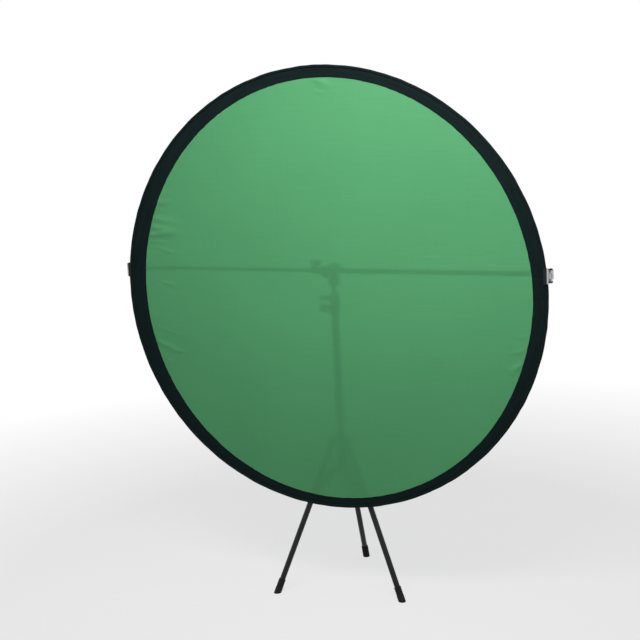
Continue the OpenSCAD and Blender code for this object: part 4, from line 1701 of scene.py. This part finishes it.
@dataclass
class LegSet:
    """The three legs with hubs, pins, braces, rivets and rubber feet."""

    finishes: Finishes
    hinge_reach: float = 27 * MM
    hinge_z: float = 500.553 * MM
    spread: float = 23.3
    length: float = 545 * MM
    radius: float = 9 * MM
    wall: float = 1.2 * MM
    plug: float = 12 * MM
    foot_radius: float = 11.5 * MM
    foot_height: float = 48 * MM
    rib_count: int = 7
    rib_from: float = 7.0 * MM
    rib_pitch: float = 3.2 * MM
    azimuths: tuple[tuple[str, float], ...] = (("left", -51.0), ("right", 69.0), ("rear", 189.0))
    knob_azimuth: float = 129.0

    def place(self, azimuth: float) -> Matrix:
        """Gives a leg's own frame: its hinge at zero, its foot along +Z.

        Args:
            azimuth: The leg's direction from the front, towards +X, in degrees.

        Returns:
            The matrix from that frame to the model's.
        """
        lean, out = math.radians(self.spread), outwards(azimuth)
        column = middle_of("base_tube")
        hinge = Vector((column.x, column.y, self.hinge_z)) + out * self.hinge_reach
        return standing_on(hinge, out * math.sin(lean) - UP * math.cos(lean), out)

    def build(self) -> None:
        """Makes the legs and their feet, and eases the hubs and braces."""
        f = self.finishes
        ribs = rib_tree()
        outline = pipe_outline(self.radius, self.radius - self.wall, -8 * MM, self.length - self.plug)
        for name, azimuth in self.azimuths:
            place = self.place(azimuth)
            stand_for(Turned(f"{name}_leg_turned", outline, place, f.tube_leg, True).build(), f"{name}_leg")
            self.build_foot(name, place, ribs)
            softened(f"{name}_brace", f.coat, 0.5 * MM)
            softened(f"{name}_rivets", f.steel, 0.35 * MM)
        softened("leg_hub", f.plastic, 0.6 * MM)
        softened("brace_hub", f.plastic, 0.8 * MM)
        softened("leg_hub_pins", f.steel, 0.4 * MM)
        softened("brace_hub_pins", f.steel, 0.4 * MM)
        out = outwards(self.knob_azimuth)
        LobedKnob("leg_hub_knob", out, 24 * MM, 15 * MM, 7 * MM, 2 * MM, 5, f, 1.3 * MM).build()

    def build_foot(self, name: str, place: Matrix, ribs: MeshTree) -> None:
        """Makes a rubber foot: a sleeve with a lip, cut level with the floor, and its ribs.

        Args:
            name: Which leg it is on.
            place: The leg's own frame.
            ribs: The tree that puts round ribs about a line.
        """
        r, top, end = self.foot_radius, self.length - self.foot_height, self.length + self.plug
        bore = self.radius + 0.05 * MM
        outline = [(bore, self.length - self.plug), (bore, top + 0.6 * MM), (bore + 0.5 * MM, top),
                   (r - 1.1 * MM, top), (r - 0.4 * MM, top + 0.5 * MM), (r - 0.2 * MM, top + 1.5 * MM),
                   (r - 0.2 * MM, top + 4.0 * MM), (r - 0.9 * MM, top + 5.2 * MM),
                   (r - 0.9 * MM, top + 27 * MM), (r, top + 29 * MM), (r, end)]
        foot = Turned(f"{name}_foot_moulded", outline, place, self.finishes.rubber, False, 64).build()
        with reworked(foot.data) as work:
            parts = [*work.verts, *work.edges, *work.faces]
            cut = bmesh.ops.bisect_plane(work, geom=parts, plane_co=(0, 0, 0), plane_no=(0, 0, -1),
                                         clear_outer=True)
            edges = [e for e in cut["geom_cut"] if isinstance(e, bmesh.types.BMEdge)]
            bmesh.ops.holes_fill(work, edges=edges)
            bmesh.ops.recalc_face_normals(work, faces=work.faces)
        shade(foot.data, 35.0)
        stand_for(foot, f"{name}_foot")
        heights = np.arange(self.rib_count) * self.rib_pitch + top + self.rib_from
        line = np.array([place @ Vector((0, 0, h)) for h in heights])
        sizes = {"Radius": r - 1.0 * MM, "Thickness": 0.9 * MM, "Sides": 48}
        ring = ribs.grow(f"{name}_foot_ribs", line, False, self.finishes.rubber, sizes)
        turn_outwards(ring.data)
        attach(ring, carrier(f"{name}_foot"))


# ---------------------------------------------------------------- studio


@dataclass(frozen=True)
class Softbox:
    """A large soft light."""

    name: str
    at: Triple
    aim: Triple
    size: Pair
    watts: float
    colour: Colour

    def build(self) -> None:
        """Hangs the light and aims it."""
        lamp = bpy.data.lights.new(self.name, "AREA")
        lamp.shape, lamp.size, lamp.size_y = "RECTANGLE", *self.size
        lamp.energy, lamp.color = self.watts, self.colour
        holder = link(self.name, lamp)
        holder.location = self.at
        holder.rotation_euler = (Vector(self.aim) - Vector(self.at)).to_track_quat("-Z", "Y").to_euler()
        holder.visible_camera = False


@dataclass
class Studio:
    """Pale floor, white surround, soft lights and the camera.

    A span is where a level starts to rise and where it is whole. The camera's angles are in degrees,
    and its focal length is in pixels of a view that is 640 wide.
    """

    lights: tuple[Softbox, ...] = (
        Softbox("Front softbox", (0.3, -1.5, 2.35), (0.0, -0.13, 1.15), (1.8, 0.6), 21.8, (1.0, 0.99, 1.0)),
        Softbox("Low strip", (0.45, -1.15, 2.0), (0.05, -0.13, 1.1), (1.6, 0.5), 6.6, (1.0, 0.99, 1.0)),
        Softbox("Back softbox", (0.3, 1.5, 3.1), (0.0, -0.13, 1.2), (2.2, 1.4), 5.5, (1.0, 1.0, 1.0)),
    )
    ambient: float = 0.10
    left_share: float = 0.20
    sky_span: Pair = (-0.14, 0.03)
    floor_span: Pair = (-0.26, 0.05)
    floor_half: float = 30
    distance: float = 3.8
    azimuth: float = 25.59
    elevation: float = 8.84
    pan: float = 0.305
    tilt: float = -1.25
    roll: float = -2.78
    focal: float = 1213.8
    view: float = 640
    sensor: float = 36.0

    def rays(self, sheet: ShaderSheet) -> tuple[Socket, Socket]:
        """Tells apart the rays that show the surround.

        Args:
            sheet: The node tree.

        Returns:
            1 for rays that meet it straight or mirrored, and 1 for those that meet it through the cloth.
        """
        path = sheet.add("ShaderNodeLightPath").outputs
        mirrored = sheet.maths("SUBTRACT", path["Is Glossy Ray"], path["Is Transmission Ray"])
        clear = sheet.maths("SUBTRACT", 1.0, path["Is Diffuse Ray"])
        return (sheet.maths("MAXIMUM", path["Is Camera Ray"], mirrored),
                sheet.maths("MULTIPLY", path["Is Transmission Ray"], clear))

    def behind(self, sheet: ShaderSheet, way: Socket, span: Pair) -> Socket:
        """Gives the surround's level in a direction: the room behind the stand is darker on its left.

        Args:
            sheet: The node tree.
            way: The direction.
            span: The shares of it to the right of the stand between which the level rises.

        Returns:
            The level, as a share of white.
        """
        turn = math.radians(self.azimuth)
        level = sheet.vector("MULTIPLY", way, (1, 1, 0)).outputs[0]
        even = sheet.vector("NORMALIZE", level).outputs[0]
        side = sheet.vector("DOT_PRODUCT", even, (math.cos(turn), math.sin(turn), 0)).outputs["Value"]
        return sheet.spread(side, self.left_share, 1.0, *span)

    def build_sky(self) -> None:
        """Makes the white surround."""
        world = bpy.data.worlds.new("White surround")
        bpy.context.scene.world = world
        sheet = ShaderSheet(world)
        way = sheet.add("ShaderNodeTexCoord").outputs["Generated"]
        straight, through = self.rays(sheet)
        dimmed = sheet.maths("MULTIPLY", through, self.behind(sheet, way, self.sky_span))
        seen = sheet.maths("MAXIMUM", straight, dimmed)
        strength = sheet.spread(seen, self.ambient, 1.0, 0.0, 1.0)
        sky = sheet.add("ShaderNodeBackground", {"Color": (1, 1, 1, 1), "Strength": strength})
        sheet.add("ShaderNodeOutputWorld", {"Surface": sky.outputs[0]})

    def build_floor(self) -> None:
        """Makes the pale floor, which fades into the surround with its distance."""
        sheet = ShaderSheet.named("Pale floor")
        way = sheet.add("ShaderNodeTexCoord").outputs["Object"]
        away = sheet.vector("LENGTH", way).outputs["Value"]
        speck = sheet.noise(sheet.place(), 60.0, 3.0)
        white = sheet.toned((0.80, 0.80, 0.80), sheet.spread(speck, 0.985, 1.015))
        body = sheet.add("ShaderNodeBsdfDiffuse", {"Color": white}).outputs[0]
        glow = sheet.add("ShaderNodeEmission", {"Color": (1, 1, 1, 1), "Strength": 1.0}).outputs[0]
        near, far = sheet.spread(away, 0.70, 1.0, 1.2, 3.0), sheet.spread(away, 0.1, 0.85, 1.5, 6.0)
        straight, through = self.rays(sheet)
        behind = sheet.maths("MULTIPLY", far, self.behind(sheet, way, self.floor_span))
        share = sheet.maths("MAXIMUM", sheet.maths("MULTIPLY", near, straight),
                            sheet.maths("MULTIPLY", behind, through))
        mesh, half = bpy.data.meshes.new("floor"), self.floor_half
        square = [(-half, -half, 0), (half, -half, 0), (half, half, 0), (-half, half, 0)]
        mesh.from_pydata(square, [], [(0, 1, 2, 3)])
        mesh.materials.append(sheet.finish(sheet.mixed(share, body, glow)))
        ground = link("floor", mesh)
        ground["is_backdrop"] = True

    def build_camera(self) -> None:
        """Sets up the camera on the cloth's middle."""
        turn, rise = math.radians(self.azimuth), math.radians(self.elevation)
        back = Vector((math.sin(turn) * math.cos(rise), -math.cos(turn) * math.cos(rise), math.sin(rise)))
        right = Vector((math.cos(turn), math.sin(turn), 0))
        place = middle_of("cloth_panel") + back * self.distance
        up = back.cross(right)
        pan = Matrix.Rotation(math.radians(self.pan), 3, up)
        right, back = pan @ right, pan @ back
        tilt = Matrix.Rotation(math.radians(self.tilt), 3, right)
        up, back = tilt @ up, tilt @ back
        roll = Matrix.Rotation(math.radians(self.roll), 3, back)
        right, up = roll @ right, roll @ up
        data = bpy.data.cameras.new("Camera")
        data.sensor_width, data.lens = self.sensor, self.focal / self.view * self.sensor
        data.clip_start, data.clip_end = 0.05, 100.0
        camera = link("Camera", data)
        camera.matrix_world = Matrix.Translation(place) @ Matrix((right, up, back)).transposed().to_4x4()
        bpy.context.scene.camera = camera

    def build(self) -> None:
        """Makes the whole studio."""
        self.build_sky()
        self.build_floor()
        for light in self.lights:
            light.build()
        self.build_camera()
        bpy.context.scene.view_settings.view_transform = "Standard"


def main() -> None:
    """Builds the studio, then the object's pieces in order."""
    logging.basicConfig(level=logging.INFO, format="%(name)s: %(message)s")
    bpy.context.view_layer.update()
    Studio().build()
    log.info("studio set up")
    finishes, bend = Finishes(), wire_tree()
    parts = (Backdrop(finishes), Arm(finishes), EndClip(Side.RIGHT, finishes, bend),
             EndClip(Side.LEFT, finishes, bend), Head(finishes), Column(finishes), LegSet(finishes))
    known = {piece.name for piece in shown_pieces()}
    for part in parts:
        part.build()
        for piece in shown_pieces():
            if piece.name not in known:
                log.info("%s: %s made", type(part).__name__, piece.name)
                known.add(piece.name)


if __name__ == "__main__":
    main()
